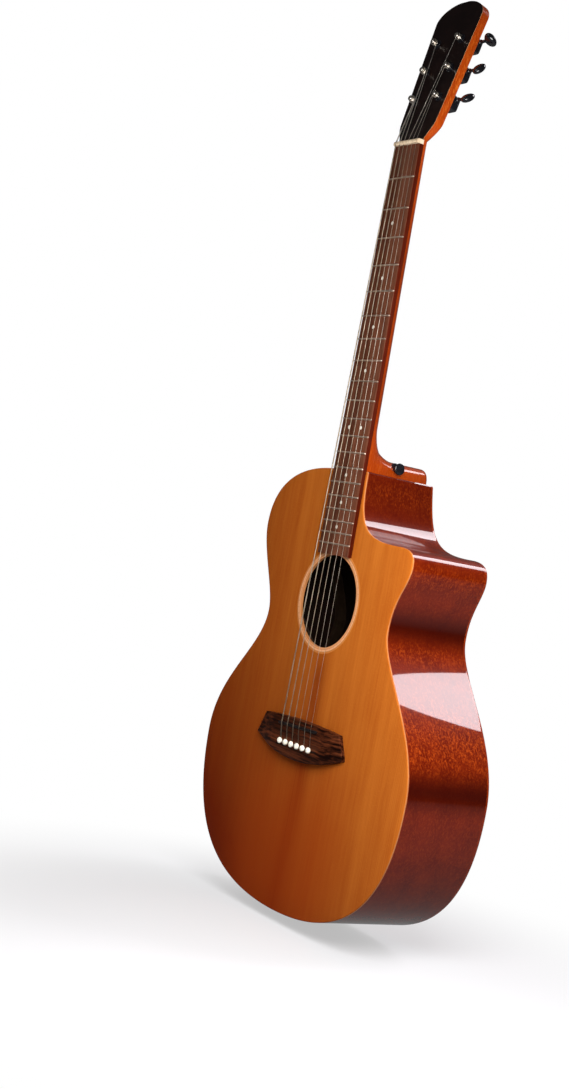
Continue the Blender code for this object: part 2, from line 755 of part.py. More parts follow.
def make_cross_braces(inside):
    """Two long braces that cross in a half lap."""
    centre = cross_centre()
    half_lap = under_front(0, 0) + BRACE_HEIGHT / 2
    for name, slope, cut_low in (("x_brace_rising", CROSS_SLOPE, True),
                                 ("x_brace_falling", -CROSS_SLOPE, False)):
        heading = (cos(slope), sin(slope))
        ends = span(inside, centre, heading, BRACE_WIDTH)
        mesh = brace_mesh(name, ends, BRACE_WIDTH, BRACE_HEIGHT, under_front, 1)
        brace = add_object(name, mesh, "inner_wood")
        low, high = (-BRACE_HEIGHT, SEAT_GAP / 2) if cut_low else (-SEAT_GAP / 2, BRACE_HEIGHT)
        notch = box_mesh(name + "_notch", (-BRACE_WIDTH * 2, low, -BRACE_WIDTH / 2 - SEAT_GAP),
                         (BRACE_WIDTH * 2, high, BRACE_WIDTH / 2 + SEAT_GAP))
        place = Matrix.Translation((0, half_lap, centre[1])) @ Matrix.Rotation(slope, 4, "Y")
        combine(brace, cutter(notch, place=place))


def make_front_braces():
    """Braces and bridge plate inside the soundboard."""
    inside = inner_polygon()
    make_cross_braces(inside)
    centre = cross_centre()
    hole_top = HOLE_Z + HOLE_RADIUS
    upper_z = (hole_top + neck_block_bottom()) / 2
    ends = span(inside, (-NECK_BLOCK_HALF / 2, upper_z), (1, 0), BRACE_WIDTH)
    mesh = brace_mesh("upper_brace", ends, BRACE_WIDTH, BRACE_HEIGHT, under_front, 1)
    add_object("upper_brace", mesh, "inner_wood")
    below = inside
    for slope in (CROSS_SLOPE, -CROSS_SLOPE):
        normal = np.array((abs(sin(slope)), -cos(slope)))
        if slope < 0:
            normal = np.array((-abs(sin(slope)), -cos(slope)))
        below = clip(below, centre + normal * (BRACE_WIDTH / 2 + SEAT_GAP), normal)
    heading = (cos(TONE_BAR_SLOPE), sin(TONE_BAR_SLOPE))
    for name, drop in (("tone_bar_upper", UPPER_TONE_BAR_DROP),
                       ("tone_bar_lower", LOWER_TONE_BAR_DROP)):
        ends = span(below, (0, PIN_Z - drop), heading, TONE_BAR_WIDTH)
        mesh = brace_mesh(name, ends, TONE_BAR_WIDTH, TONE_BAR_HEIGHT, under_front, 1)
        add_object(name, mesh, "inner_wood")
    plate = clip(below, (0, PIN_Z + BRIDGE_PLATE_RISE), (0, -1))
    plate = clip(plate, (0, PIN_Z - BRIDGE_PLATE_DROP), (0, 1))
    half = BRIDGE_HALF_LENGTH
    return clip(clip(plate, (-half, 0), (1, 0)), (half, 0), (-1, 0))


def make_bridge_plate(loop, tools):
    """Hardwood plate under the bridge, which the string ends bear on."""
    mesh = prism_mesh("bridge_plate", loop, under_front,
                      lambda x, z: under_front(x, z) + BRIDGE_PLATE_THICKNESS)
    plate = add_object("bridge_plate", mesh, "rosewood")
    for tool in tools:
        combine(plate, tool)


def make_back_braces():
    """Four braces across the inside of the back."""
    inside = inner_polygon()
    for number, share in enumerate(BACK_BRACE_SHARES, start=1):
        name = f"back_brace_{number}"
        ends = span(inside, (0, TAIL_Z + share * BODY_LENGTH), (1, 0), BACK_BRACE_WIDTH)
        mesh = brace_mesh(name, ends, BACK_BRACE_WIDTH, BACK_BRACE_HEIGHT, under_back, -1)
        add_object(name, mesh, "inner_wood")


# ---------------------------------------------------------------- bridge


def bridge_section(x):
    """Cross-section of the bridge at x: lower edge, upper edge and height."""
    share = abs(x) / BRIDGE_HALF_LENGTH
    low = -BRIDGE_BELLY_DROP + (BRIDGE_BELLY_DROP + BRIDGE_TIP_RISE - BRIDGE_TIP_HALF) * share ** 2
    shoulder = BRIDGE_SHOULDER_HALF
    if abs(x) <= shoulder:
        high = BRIDGE_TOP_RISE + (BRIDGE_SHOULDER_RISE - BRIDGE_TOP_RISE) * (x / shoulder) ** 2
    else:
        tip = BRIDGE_TIP_RISE + BRIDGE_TIP_HALF
        along = (abs(x) - shoulder) / (BRIDGE_HALF_LENGTH - shoulder)
        high = BRIDGE_SHOULDER_RISE + (tip - BRIDGE_SHOULDER_RISE) * along
    fall = max(0, abs(x) - BRIDGE_FLAT_HALF) / (BRIDGE_HALF_LENGTH - BRIDGE_FLAT_HALF)
    ease = fall * fall * (3 - 2 * fall)
    height = BRIDGE_HEIGHT + (BRIDGE_WING_HEIGHT - BRIDGE_HEIGHT) * ease
    return PIN_Z + low, PIN_Z + high, height


def make_bridge(tools):
    """Rosewood bridge with its saddle slot and pin holes, and the saddle in the slot."""
    half, shoulder, flat = BRIDGE_HALF_LENGTH, BRIDGE_SHOULDER_HALF, BRIDGE_FLAT_HALF
    right = [flat / 2, flat, (flat * 2 + shoulder) / 3, (flat + shoulder * 2) / 3, shoulder,
             (shoulder + half) / 2, half]
    stations = [-x for x in reversed(right)] + [0] + right
    rings = []
    for x in stations:
        low, high, height = bridge_section(x)
        chamfer = min(BRIDGE_CHAMFER, (high - low) / 4)
        foot, top = FRONT_Y - SEAT_GAP, FRONT_Y - height
        rings.append([(x, foot, low), (x, foot, high), (x, top + chamfer, high),
                      (x, top, high - chamfer), (x, top, low + chamfer), (x, top + chamfer, low)])
    bridge = add_object("bridge", loft_mesh("bridge", rings), "rosewood")
    turn = Matrix.Rotation(-atan2(SADDLE_SLANT, SADDLE_LENGTH), 4, "Y")
    place = Matrix.Translation((0, FRONT_Y, SADDLE_Z)) @ turn
    gap = SEAT_GAP
    half_length, half_width = SADDLE_LENGTH / 2, SADDLE_THICKNESS / 2
    floor = SADDLE_SLOT_DEPTH - BRIDGE_HEIGHT
    slot = box_mesh("saddle_slot", (-half_length - gap, -BRIDGE_HEIGHT * 2, -half_width - gap),
                    (half_length + gap, floor + gap, half_width + gap))
    combine(bridge, cutter(slot, place=place))
    for tool in tools:
        combine(bridge, tool)
    low, high = -half_width, half_width
    crown = SADDLE_HEIGHT - SADDLE_THICKNESS / 3
    ring = [(floor, low), (floor, high), (-crown, high), (-SADDLE_HEIGHT, 0), (-crown, low)]
    rings = [[(x, y, z) for y, z in ring] for x in (-half_length, half_length)]
    add_object("saddle", loft_mesh("saddle", rings), "dark_saddle", place=place)


def make_pins():
    """Six tapered pins with round heads."""
    head = PIN_HEAD_HEIGHT
    profile = [(0, PIN_LENGTH), (PIN_TIP_RADIUS, PIN_LENGTH - SEAT_GAP), (PIN_TOP_RADIUS, 0),
               (PIN_TOP_RADIUS, -SEAT_GAP), (PIN_HEAD_RADIUS, -SEAT_GAP * 2),
               (PIN_HEAD_RADIUS, -head * 0.45), (PIN_HEAD_RADIUS * 0.72, -head * 0.85),
               (0, -head)]
    for index in range(STRING_COUNT):
        place = along_y(pin_x(index), PIN_Z, FRONT_Y - BRIDGE_HEIGHT)
        name = f"bridge_pin_{STRING_COUNT - index}"
        add_object(name, lathe_mesh(name, profile, PIN_SEGMENTS), "ivory_pin", place=place)


# ---------------------------------------------------------------- neck and fingerboard


def neck_half(z):
    """Half width of the neck and fingerboard at a height."""
    body_fret = SCALE_LENGTH * (1 - 2 ** (-BODY_FRET / 12))
    share = (NUT_Z - z) / body_fret
    return (NUT_WIDTH + (BODY_FRET_WIDTH - NUT_WIDTH) * share) / 2


def rounded_section(origin, depth_axis, half, depth, power):
    """Flat-faced section with a rounded back: a superellipse of the given power."""
    ring = []
    for angle in np.linspace(0, pi, NECK_SECTION_POINTS):
        x = half * np.sign(cos(angle)) * abs(cos(angle)) ** (2 / power)
        fall = depth * max(sin(angle), 0) ** (2 / power)
        ring.append(Vector((x, 0, 0)) + Vector(origin) + Vector(depth_axis) * fall)
    return ring


def heel_half(y):
    """Half width of the heel at a depth behind the soundboard's face."""
    depth = (y - FRONT_Y) / HEEL_DEPTH
    top, middle, cap = neck_half(TOP_Z), HEEL_MID_HALF, HEEL_CAP_HALF
    a = 2 * (top + cap) - 4 * middle
    return top + (4 * middle - 3 * top - cap) * depth + a * depth ** 2


def heel_sections():
    """Sections that turn from across the neck to across the heel, then run to its cap."""
    foot = TOP_Z + SEAT_GAP
    centre_y = FRONT_Y + NECK_DEPTH_AT_HEEL + HEEL_CURVE
    centre_z = foot + HEEL_SHELF + HEEL_CURVE
    corner = atan2(centre_z - foot, centre_y - FRONT_Y)
    angles = [corner * share for share in (0, 0.25, 0.5, 0.75, 1)]
    angles += [corner + (pi / 2 - corner) * share for share in (0.33, 0.66, 1)]
    rings = []
    for angle in angles:
        if angle <= corner:
            far = (centre_y - FRONT_Y) / cos(angle)
        else:
            far = (centre_z - foot) / sin(angle)
        y, z = centre_y - far * cos(angle), centre_z - far * sin(angle)
        half = neck_half(z) if angle <= corner else heel_half(y)
        power = NECK_ROUNDNESS + (HEEL_ROUNDNESS - NECK_ROUNDNESS) * angle / (pi / 2)
        axis = (0, cos(angle), sin(angle))
        rings.append(rounded_section((0, y, z), axis, half, far - HEEL_CURVE, power))
    cap_y = FRONT_Y + HEEL_DEPTH
    turn_y = cap_y - HEEL_CORNER
    for share in (0.5, 1):
        y = centre_y + (turn_y - centre_y) * share
        rings.append(rounded_section((0, y, foot), (0, 0, 1), heel_half(y), HEEL_SHELF,
                                     HEEL_ROUNDNESS))
    for angle in (pi / 6, pi / 3, pi / 2):
        y = turn_y + HEEL_CORNER * sin(angle)
        loss = HEEL_CORNER * (1 - cos(angle))
        rings.append(rounded_section((0, y, foot), (0, 0, 1), heel_half(y) - loss * HEEL_SIDE_LOSS,
                                     HEEL_SHELF - loss, HEEL_ROUNDNESS))
    return rings


def head_half(height):
    """Half width of the head at a height above its start."""
    crown_start = HEAD_LENGTH - HEAD_CROWN
    base = HEAD_BASE_HALF + (HEAD_TOP_HALF - HEAD_BASE_HALF) * height / crown_start
    if height < HEAD_FLARE:
        rise = sin(pi / 2 * height / HEAD_FLARE) ** 1.5
        return NUT_WIDTH / 2 + (base - NUT_WIDTH / 2) * rise
    if height > crown_start:
        share = (height - crown_start) / HEAD_CROWN
        return HEAD_TOP_HALF * (1 - share ** 2) ** 0.5
    return base


def head_stations():
    """Heights along the head, closer at the flare, the bare top of its back and the crown."""
    flare = [HEAD_FLARE * share for share in (0.15, 0.35, 0.6, 0.85, 1.0)]
    crown_start = HEAD_LENGTH - HEAD_CROWN
    crown = [crown_start + HEAD_CROWN * sin(radians(angle)) for angle in (0, 22, 42, 58, 72, 82)]
    return flare + [crown_start / 2, crown_start - HEAD_BARE_TOP] + crown


def neck_sections():
    """All sections of the neck, from the heel's cap to the head's crown."""
    rings = heel_sections()[::-1]
    start_z = TOP_Z + SEAT_GAP + HEEL_SHELF + HEEL_CURVE
    for share in (0.25, 0.5, 0.75, 1.0):
        z = start_z + (NUT_Z - start_z) * share
        depth = NECK_DEPTH_AT_HEEL + (NECK_DEPTH_AT_NUT - NECK_DEPTH_AT_HEEL) * share
        rings.append(rounded_section((0, FRONT_Y, z), (0, 1, 0), neck_half(z), depth,
                                     NECK_ROUNDNESS))
    axis = HEAD.to_3x3() @ Vector((0, 1, 0))
    first, last = HEAD_ROUNDNESS
    rings.append(rounded_section((0, FRONT_Y, HEAD_START - SEAT_GAP), (0, 1, 0), NUT_WIDTH / 2,
                                 HEAD_THICKNESS, NECK_ROUNDNESS))
    for height in head_stations():
        blend = min(1, height / HEAD_FLARE)
        origin = HEAD @ Vector((0, 0, height))
        rings.append(rounded_section(origin, axis, head_half(height), HEAD_THICKNESS,
                                     first + (last - first) * blend))
    return rings


def post_places():
    """Side, height up the head and string index of each tuning machine, bass string first."""
    places = []
    for index in range(STRING_COUNT):
        from_nut = index if index < STRING_COUNT / 2 else STRING_COUNT - 1 - index
        side = -1 if index < STRING_COUNT / 2 else 1
        places.append((side, POST_FIRST + POST_PITCH * from_nut, index))
    return places


def make_neck(head):
    """Neck with heel, tenon and head in one piece, cut for the rod, posts and strap button."""
    neck = add_object("neck", loft_mesh("neck", neck_sections()), "neck_wood", smooth=35)
    tenon = box_mesh("tenon", (-TENON_HALF, BOARD_BACK + SEAT_GAP, TOP_Z - TENON_LENGTH),
                     (TENON_HALF, tenon_back_y(), TOP_Z + HEEL_SHELF / 2))
    combine(neck, cutter(tenon), "UNION")
    gap = SEAT_GAP
    rod_low, rod_high = rod_span()
    channel = box_mesh("rod_channel", (-ROD_HALF - gap, FRONT_Y - ROD_DEPTH, rod_low - gap),
                       (ROD_HALF + gap, FRONT_Y + ROD_DEPTH + gap, rod_high + gap))
    combine(neck, cutter(channel))
    add_object("truss_rod", box_mesh("truss_rod", (-ROD_HALF, FRONT_Y, rod_low),
                                     (ROD_HALF, FRONT_Y + ROD_DEPTH, rod_high)), "steel")
    seat = [(0, 0), (STRAP_BASE_RADIUS + 2 * gap, 0),
            (STRAP_BASE_RADIUS + 2 * gap, HEEL_MID_HALF), (0, HEEL_MID_HALF)]
    hole = [(0, -SCREW_LENGTH - gap), (SCREW_RADIUS + gap, -SCREW_LENGTH - gap),
            (SCREW_RADIUS + gap, gap), (0, gap)]
    for profile, label, segments in ((seat, "button_seat", SEAT_SEGMENTS),
                                     (hole, "button_hole", PIN_SEGMENTS)):
        combine(neck, cutter(lathe_mesh(label, profile, segments), place=heel_button_place()))
    holes = [cutter(mesh, head) for mesh in post_hole_meshes()]
    veneer = make_veneer(head)
    for tool in holes:
        combine(neck, tool)
        combine(veneer, tool)


def rod_span():
    """Lower and upper ends of the truss rod."""
    return TOP_Z + ROD_MARGIN, NUT_Z - ROD_MARGIN


def heel_button_place():
    """Axis of the strap button on the treble side of the heel."""
    middle = Matrix.Translation((HEEL_SEAT_X, FRONT_Y + HEEL_BUTTON_DEPTH,
                                 TOP_Z + HEEL_SHELF * HEEL_BUTTON_RISE))
    return middle @ along_x(1)


def post_hole_meshes():
    """Holes through head and veneer for the bushings."""
    reach_through = HEAD_THICKNESS * 2
    profile = [(0, -reach_through), (BUSHING_RADIUS + SEAT_GAP, -reach_through),
               (BUSHING_RADIUS + SEAT_GAP, reach_through), (0, reach_through)]
    for side, height, _ in post_places():
        mesh = lathe_mesh("post_hole", profile, FITTING_SEGMENTS)
        mesh.transform(along_y(side * POST_X, height))
        yield mesh


def make_veneer(head):
    """Dark veneer on the head's face, in the head's own frame."""
    stations = [0.0] + head_stations()
    right = [(head_half(height), height) for height in stations]
    loop = right + [(-x, height) for x, height in reversed(right)]
    low, high = -SEAT_GAP - VENEER_THICKNESS, -SEAT_GAP
    mesh = prism_mesh("head_veneer", loop, low, high)
    return add_object("head_veneer", mesh, "black_veneer", parent=head)


def fret_z(number):
    """Height of a fret by the twelve-tone rule; fret 0 is the nut."""
    return NUT_Z - SCALE_LENGTH * (1 - 2 ** (-number / 12))


def board_stations():
    """Heights along the fingerboard with the fret metal's rise at each."""
    stations = [(NUT_Z, 0)]
    half, crown = FRET_WIDTH / 2, FRET_CROWN / 2
    for number in range(1, FRET_COUNT + 1):
        z = fret_z(number)
        stations += [(z + half, 0), (z + crown, FRET_HEIGHT),
                     (z - crown, FRET_HEIGHT), (z - half, 0)]
    return stations + [(BOARD_END_Z, 0)]


def make_fingerboard():
    """Fingerboard with its cambered face and the frets set in it."""
    rings = []
    for z, rise in board_stations():
        half = neck_half(z)
        foot = FRONT_Y - SEAT_GAP
        ring = [(half, foot, z), (-half, foot, z)]
        for share in (-1, -0.5, 0, 0.5, 1):
            camber = (half * share) ** 2 / (2 * BOARD_RADIUS)
            ring.append((half * share, FRONT_Y - BOARD_THICKNESS + camber - rise, z))
        rings.append(ring)
    add_object("fingerboard", loft_mesh("fingerboard", rings), "rosewood")


def nut_string_y(index):
    """Height of a string's axis at the nut."""
    return FRONT_Y - BOARD_THICKNESS - STRING_LIFT_AT_NUT - STRING_RADII[index]


def make_nut():
    """Nut with one slot for each string."""
    half, top = NUT_WIDTH / 2, NUT_HEIGHT
    loop = [(-half, SEAT_GAP), (-half, top)]
    for index in range(STRING_COUNT):
        x, wide = nut_x(index), STRING_RADII[index] + NUT_SLOT_MARGIN
        floor = FRONT_Y - nut_string_y(index) - wide
        loop += [(x - wide, top), (x - wide, floor), (x + wide, floor), (x + wide, top)]
    loop += [(half, top), (half, SEAT_GAP)]
    mesh = prism_mesh("nut", loop, SEAT_GAP, NUT_THICKNESS)
    place = Matrix.Translation((0, FRONT_Y, NUT_Z)) @ Matrix.Rotation(pi / 2, 4, "X")
    add_object("nut", mesh, "cream_bone", place=place)


# ---------------------------------------------------------------- strings


def saddle_z(x):
    """Height of the slanted saddle's crest at x; the bass end lies lower."""
    return SADDLE_Z + SADDLE_SLANT * x / SADDLE_LENGTH


def winding_radius(index):
    """Radius of the turns of string round a post."""
    return POST_RADIUS + 2 * STRING_RADII[index]


def string_end(index, side, height):
    """Where a string meets the turns on its post, on the side towards the middle."""
    start = HEAD.inverted() @ Vector((nut_x(index), nut_string_y(index),
                                      NUT_Z + NUT_THICKNESS))
    face = SEAT_GAP + VENEER_THICKNESS
    post = Vector((side * POST_X, -face - sum(WINDING_RISE) / 2, height))
    flat = Vector((post.x - start.x, post.z - start.z))
    radius = winding_radius(index) + STRING_RADII[index] + RUN_GAP
    turn = side * asin(radius / flat.length)
    heading = Vector((flat.x * cos(turn) - flat.y * sin(turn),
                      flat.x * sin(turn) + flat.y * cos(turn)))
    length = (flat.length ** 2 - radius ** 2) ** 0.5
    touch = Vector((start.x, start.z)) + heading.normalized() * length
    return HEAD @ Vector((touch.x, post.y, touch.y))


def string_points(index, side, height):
    """Route of a string's axis from its ball end to its post."""
    radius, x = STRING_RADII[index], pin_x(index)
    drop_z = PIN_Z + STRING_DROP_AT
    ball_y = under_front(0, 0) + BRIDGE_PLATE_THICKNESS + BALL_BELOW_PLATE
    crest_y = FRONT_Y - SADDLE_HEIGHT - radius - SEAT_GAP
    saddle = saddle_z(x)
    edge_y = FRONT_Y - BRIDGE_HEIGHT - radius - SEAT_GAP
    return [Vector((x, ball_y + BALL_RADIUS, drop_z)),
            Vector((x, ball_y - BALL_RADIUS, drop_z)),
            Vector((x, edge_y + 3 * radius, drop_z)),
            Vector((x, edge_y, PIN_Z + PIN_SLOT_REACH - radius / 2)),
            Vector((x, crest_y, saddle - SADDLE_THICKNESS / 4)),
            Vector((x, crest_y, saddle + SADDLE_THICKNESS / 4)),
            Vector((nut_x(index), nut_string_y(index), NUT_Z)),
            Vector((nut_x(index), nut_string_y(index), NUT_Z + NUT_THICKNESS)),
            string_end(index, side, height)]


def tube_mesh(name, points, radii, sides=6):
    """Tube of changing radius along a route that has no twist."""
    rings = []
    for i, point in enumerate(points):
        before = points[max(i - 1, 0)]
        after = points[min(i + 1, len(points) - 1)]
        heading = (after - before).normalized()
        across = heading.cross(Vector((1, 0, 0))).normalized()
        other = across.cross(heading)
        rings.append([point + radii[i] * (cos(a) * across + sin(a) * other)
                      for a in np.linspace(0, 2 * pi, sides, endpoint=False)])
    return loft_mesh(name, rings)


def make_strings():
    """Six strings, each from the ball under the bridge plate to the turns on its post."""
    for side, height, index in post_places():
        points = string_points(index, side, height)
        radius = STRING_RADII[index]
        ball = [points[0], points[0] + (points[1] - points[0]) * 0.35, points[1]]
        route = ball + points[1:]
        route[3] = points[1] + (points[2] - points[1]) * 0.05
        radii = [BALL_RADIUS * 0.6, BALL_RADIUS, BALL_RADIUS * 0.7] + [radius] * len(points[1:])
        name = f"string_{STRING_COUNT - index}"
        add_object(name, tube_mesh(name, route, radii), "string_metal")


# ---------------------------------------------------------------- tuning machines


def worm_offset():
    """Distance between the gear's axis and the worm's axis."""
    return GEAR_RADIUS + WORM_RADIUS + RUN_GAP


def gear_middle():
    """Depth of the gear and worm behind the head's face."""
    return HEAD_THICKNESS + SEAT_GAP + HOUSING_DEPTH / 2


def housing_mesh():
    """Outer body of a housing about its post, with its outer edges bevelled."""
    back, deep = HEAD_THICKNESS + SEAT_GAP, HEAD_THICKNESS + SEAT_GAP + HOUSING_DEPTH
    x = HOUSING_HALF
    bm = bmesh.new()
    bmesh.ops.create_cube(bm, size=1.0)
    size = Vector((2 * x, HOUSING_DEPTH, HOUSING_BELOW + HOUSING_ABOVE))
    bmesh.ops.scale(bm, vec=size, verts=bm.verts)
    middle = Vector((0, (back + deep) / 2, (HOUSING_ABOVE - HOUSING_BELOW) / 2))
    bmesh.ops.translate(bm, vec=middle, verts=bm.verts)
    edges = [edge for edge in bm.edges
             if max(v.co.y for v in edge.verts) > (back + deep) / 2]
    bmesh.ops.bevel(bm, geom=edges, offset=HOUSING_BEVEL, segments=1, affect="EDGES")
    return mesh_from_bmesh("housing_body", bm)


def housing_tools(head, place, side):
    """Tab and bushing to join, then cavity, bore and shaft hole to cut, for one housing."""
    back = HEAD_THICKNESS + SEAT_GAP
    deep, wall = back + HOUSING_DEPTH, HOUSING_WALL
    half = HOUSING_HALF
    tab = box_mesh("tab", (-half * HOUSING_TAB_SHARE, back, -HOUSING_BELOW - HOUSING_TAB),
                   (half * HOUSING_TAB_SHARE, back + 2 * wall, 0))
    front = -SEAT_GAP - VENEER_THICKNESS
    bushing = lathe_mesh("bushing", [(0, front), (BUSHING_RADIUS, front),
                                     (BUSHING_RADIUS, back + wall / 2), (0, back + wall / 2)],
                         FITTING_SEGMENTS)
    bushing.transform(along_y(0, 0))
    cavity = box_mesh("cavity", (-half + wall, back + wall, -HOUSING_BELOW + wall),
                      (half - wall, deep - wall, HOUSING_ABOVE - wall))
    bore = lathe_mesh("bore", [(0, -back), (POST_RADIUS + RUN_GAP, -back),
                               (POST_RADIUS + RUN_GAP, back + 2 * wall), (0, back + 2 * wall)],
                      FITTING_SEGMENTS)
    bore.transform(along_y(0, 0))
    radius = KNOB_SHAFT_RADIUS + RUN_GAP
    shaft = lathe_mesh("shaft_hole", [(0, 0), (radius, 0), (radius, 2 * half), (0, 2 * half)],
                       PIN_SEGMENTS)
    shaft.transform(Matrix.Translation((0, gear_middle(), worm_offset())) @ along_x(side))
    joined = [cutter(mesh, head, place) for mesh in (tab, bushing)]
    cut = [cutter(mesh, head, place) for mesh in (cavity, bore, shaft)]
    return joined, cut


def knob_mesh(turn):
    """Knob, shaft and worm about the shaft's axis, which points out along local +Z."""
    worm_half = HOUSING_HALF - HOUSING_WALL - 2 * RUN_GAP
    root, shaft = WORM_RADIUS - WORM_DEPTH, KNOB_SHAFT_RADIUS
    outline = [(root, root, -worm_half)]
    for number in range(WORM_TURNS):
        level = -worm_half + 2 * worm_half * (number + 0.25) / WORM_TURNS
        outline += [(root, root, level),
                    (WORM_RADIUS, WORM_RADIUS, level + worm_half / WORM_TURNS)]
    outline += [(root, root, worm_half), (shaft, shaft, worm_half + RUN_GAP),
                (shaft, shaft, KNOB_REACH - shaft)]
    for share, width, thick in KNOB_SHAPE:
        outline.append((KNOB_HALF_WIDTH * width, KNOB_HALF_THICKNESS * thick,
                        KNOB_REACH + KNOB_LENGTH * share))
    rotate = Matrix.Rotation(radians(turn), 3, "Z")
    rings = [[rotate @ Vector((wide * cos(a), thick * sin(a), z))
              for a in np.linspace(0, 2 * pi, KNOB_SIDES, endpoint=False)]
             for wide, thick, z in outline]
    return loft_mesh("knob", rings)


def toothed_ring(radius, level, bite):
    """Ring about the post's axis whose every other point is drawn in by a bite."""
    steps = GEAR_TEETH * 2
    radii = [radius - bite * (step % 2) for step in range(steps)]
    angles = np.linspace(0, 2 * pi, steps, endpoint=False)
    return [(r * cos(a), r * sin(a), level) for r, a in zip(radii, angles)]


def post_mesh(index):
    """Post with its gear and its turns of string, from the housing to above the head's face."""
    face = SEAT_GAP + VENEER_THICKNESS
    low = -(HEAD_THICKNESS + SEAT_GAP + HOUSING_DEPTH - HOUSING_WALL - RUN_GAP)
    tooth_low, tooth_high = (-gear_middle() + side * GEAR_WIDTH / 2 for side in (-1, 1))
    start, stop = (face + rise for rise in WINDING_RISE)
    top = face + POST_RISE
    radius, winding = POST_RADIUS, winding_radius(index)
    stations = [(radius - POST_CROWN, low, 0), (radius, low + POST_CROWN, 0),
                (radius, tooth_low, 0), (GEAR_RADIUS, tooth_low, TOOTH_DEPTH),
                (GEAR_RADIUS, tooth_high, TOOTH_DEPTH), (radius, tooth_high, 0),
                (radius, start, 0), (winding, start + WINDING_LEAD, 0), (winding, stop, 0),
                (radius - WINDING_LEAD, stop + WINDING_LEAD, 0), (radius, top - POST_CROWN, 0),
                (radius - POST_CROWN, top, 0)]
    return loft_mesh("post", [toothed_ring(*station) for station in stations])


def make_tuners(head):
    """Six tuning machines: housing, knob with worm, post with gear."""
    for side, height, index in post_places():
        number = STRING_COUNT - index
        place = Matrix.Translation((side * POST_X, 0, height))
        mesh = housing_mesh()
        mesh.name = f"tuner_housing_{number}"
        housing = add_object(mesh.name, mesh, "black_metal", parent=head, place=place)
        joined, cut = housing_tools(head, place, side)
        for tool in joined:
            combine(housing, tool, "UNION")
        for tool in cut:
            combine(housing, tool)
        worm = place @ Matrix.Translation((0, gear_middle(), worm_offset()))
        mesh = knob_mesh(KNOB_TURNS[index])
        mesh.name = f"tuner_knob_{number}"
        add_object(mesh.name, mesh, "black_metal", parent=head, place=worm @ along_x(side))
        mesh = post_mesh(index)
        mesh.name = f"tuner_post_{number}"
        upright = place @ Matrix.Rotation(pi / 2, 4, "X")
        add_object(mesh.name, mesh, "steel", parent=head, place=upright)


# ---------------------------------------------------------------- strap hardware


def strap_profile(length, shank, shank_radius):
    """Profile of a strap button that stands on its base at height 0."""
    return [(0, -shank), (shank_radius * 0.5, -shank), (shank_radius, -shank * 0.85),
            (shank_radius, 0), (STRAP_BASE_RADIUS, SEAT_GAP), (STRAP_BASE_RADIUS, length * 0.18),
            (STRAP_WAIST_RADIUS, length * 0.38), (STRAP_WAIST_RADIUS, length * 0.62),
            (STRAP_HEAD_RADIUS, length * 0.78), (STRAP_HEAD_RADIUS, length * 0.92),
            (STRAP_HEAD_RADIUS * 0.75, length), (0, length)]


def end_pin_place():
    """Axis of the end pin: it points down, out of the middle of the tail."""
    return Matrix.Translation((0, 0, TAIL_Z)) @ Matrix.Rotation(pi, 4, "X")


def end_hole_cutter():
    """Hole for the end pin's shank through sides and tail block."""
    radius, deep = STRAP_SHANK_RADIUS + SEAT_GAP, STRAP_SHANK_LENGTH + SEAT_GAP
    profile = [(0, -deep), (radius, -deep), (radius, END_PIN_REACH), (0, END_PIN_REACH)]
    return cutter(lathe_mesh("end_hole", profile, FITTING_SEGMENTS), place=end_pin_place())


def make_strap_hardware():
    """End pin at the tail and strap button on the heel."""
    profile = strap_profile(END_PIN_REACH, STRAP_SHANK_LENGTH, STRAP_SHANK_RADIUS)
    add_object("end_pin", lathe_mesh("end_pin", profile, PIN_SEGMENTS), "black_metal",
               place=end_pin_place())
    profile = strap_profile(HEEL_BUTTON_REACH, SCREW_LENGTH, SCREW_RADIUS)
    add_object("heel_strap_button", lathe_mesh("heel_strap_button", profile, PIN_SEGMENTS),
               "black_metal",
               place=heel_button_place())


def main():
    """Build the whole guitar."""
    clear_scene()
    head = bpy.data.objects.new("head_frame", None)
    bpy.context.collection.objects.link(head)
    head.matrix_world = HEAD
    bpy.context.view_layer.update()
    tools = pin_cutters()
    end_hole = end_hole_cutter()
    make_soundboard(tools)
    make_back()
    make_sides(end_hole)
    make_linings()
    make_blocks(end_hole)
    make_bridge_plate(make_front_braces(), tools)
    make_back_braces()
    make_bridge(tools)
    make_pins()
    make_neck(head)
    make_fingerboard()
    make_nut()
    make_strings()
    make_tuners(head)
    make_strap_hardware()
    bpy.context.view_layer.update()


main()
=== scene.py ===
"""Looks of a steel-string acoustic guitar with a cutaway.

Metres, +Z up the neck, +X to the treble side, the soundboard faces -Y. Each class builds one
sub-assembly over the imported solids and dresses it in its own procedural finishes.
"""

import json
import logging
from dataclasses import dataclass, field
from enum import Enum
from math import atan2, cos, pi, radians, sin
from typing import Callable, Union

import bmesh
import bpy
import numpy as np
from mathutils import Matrix, Vector

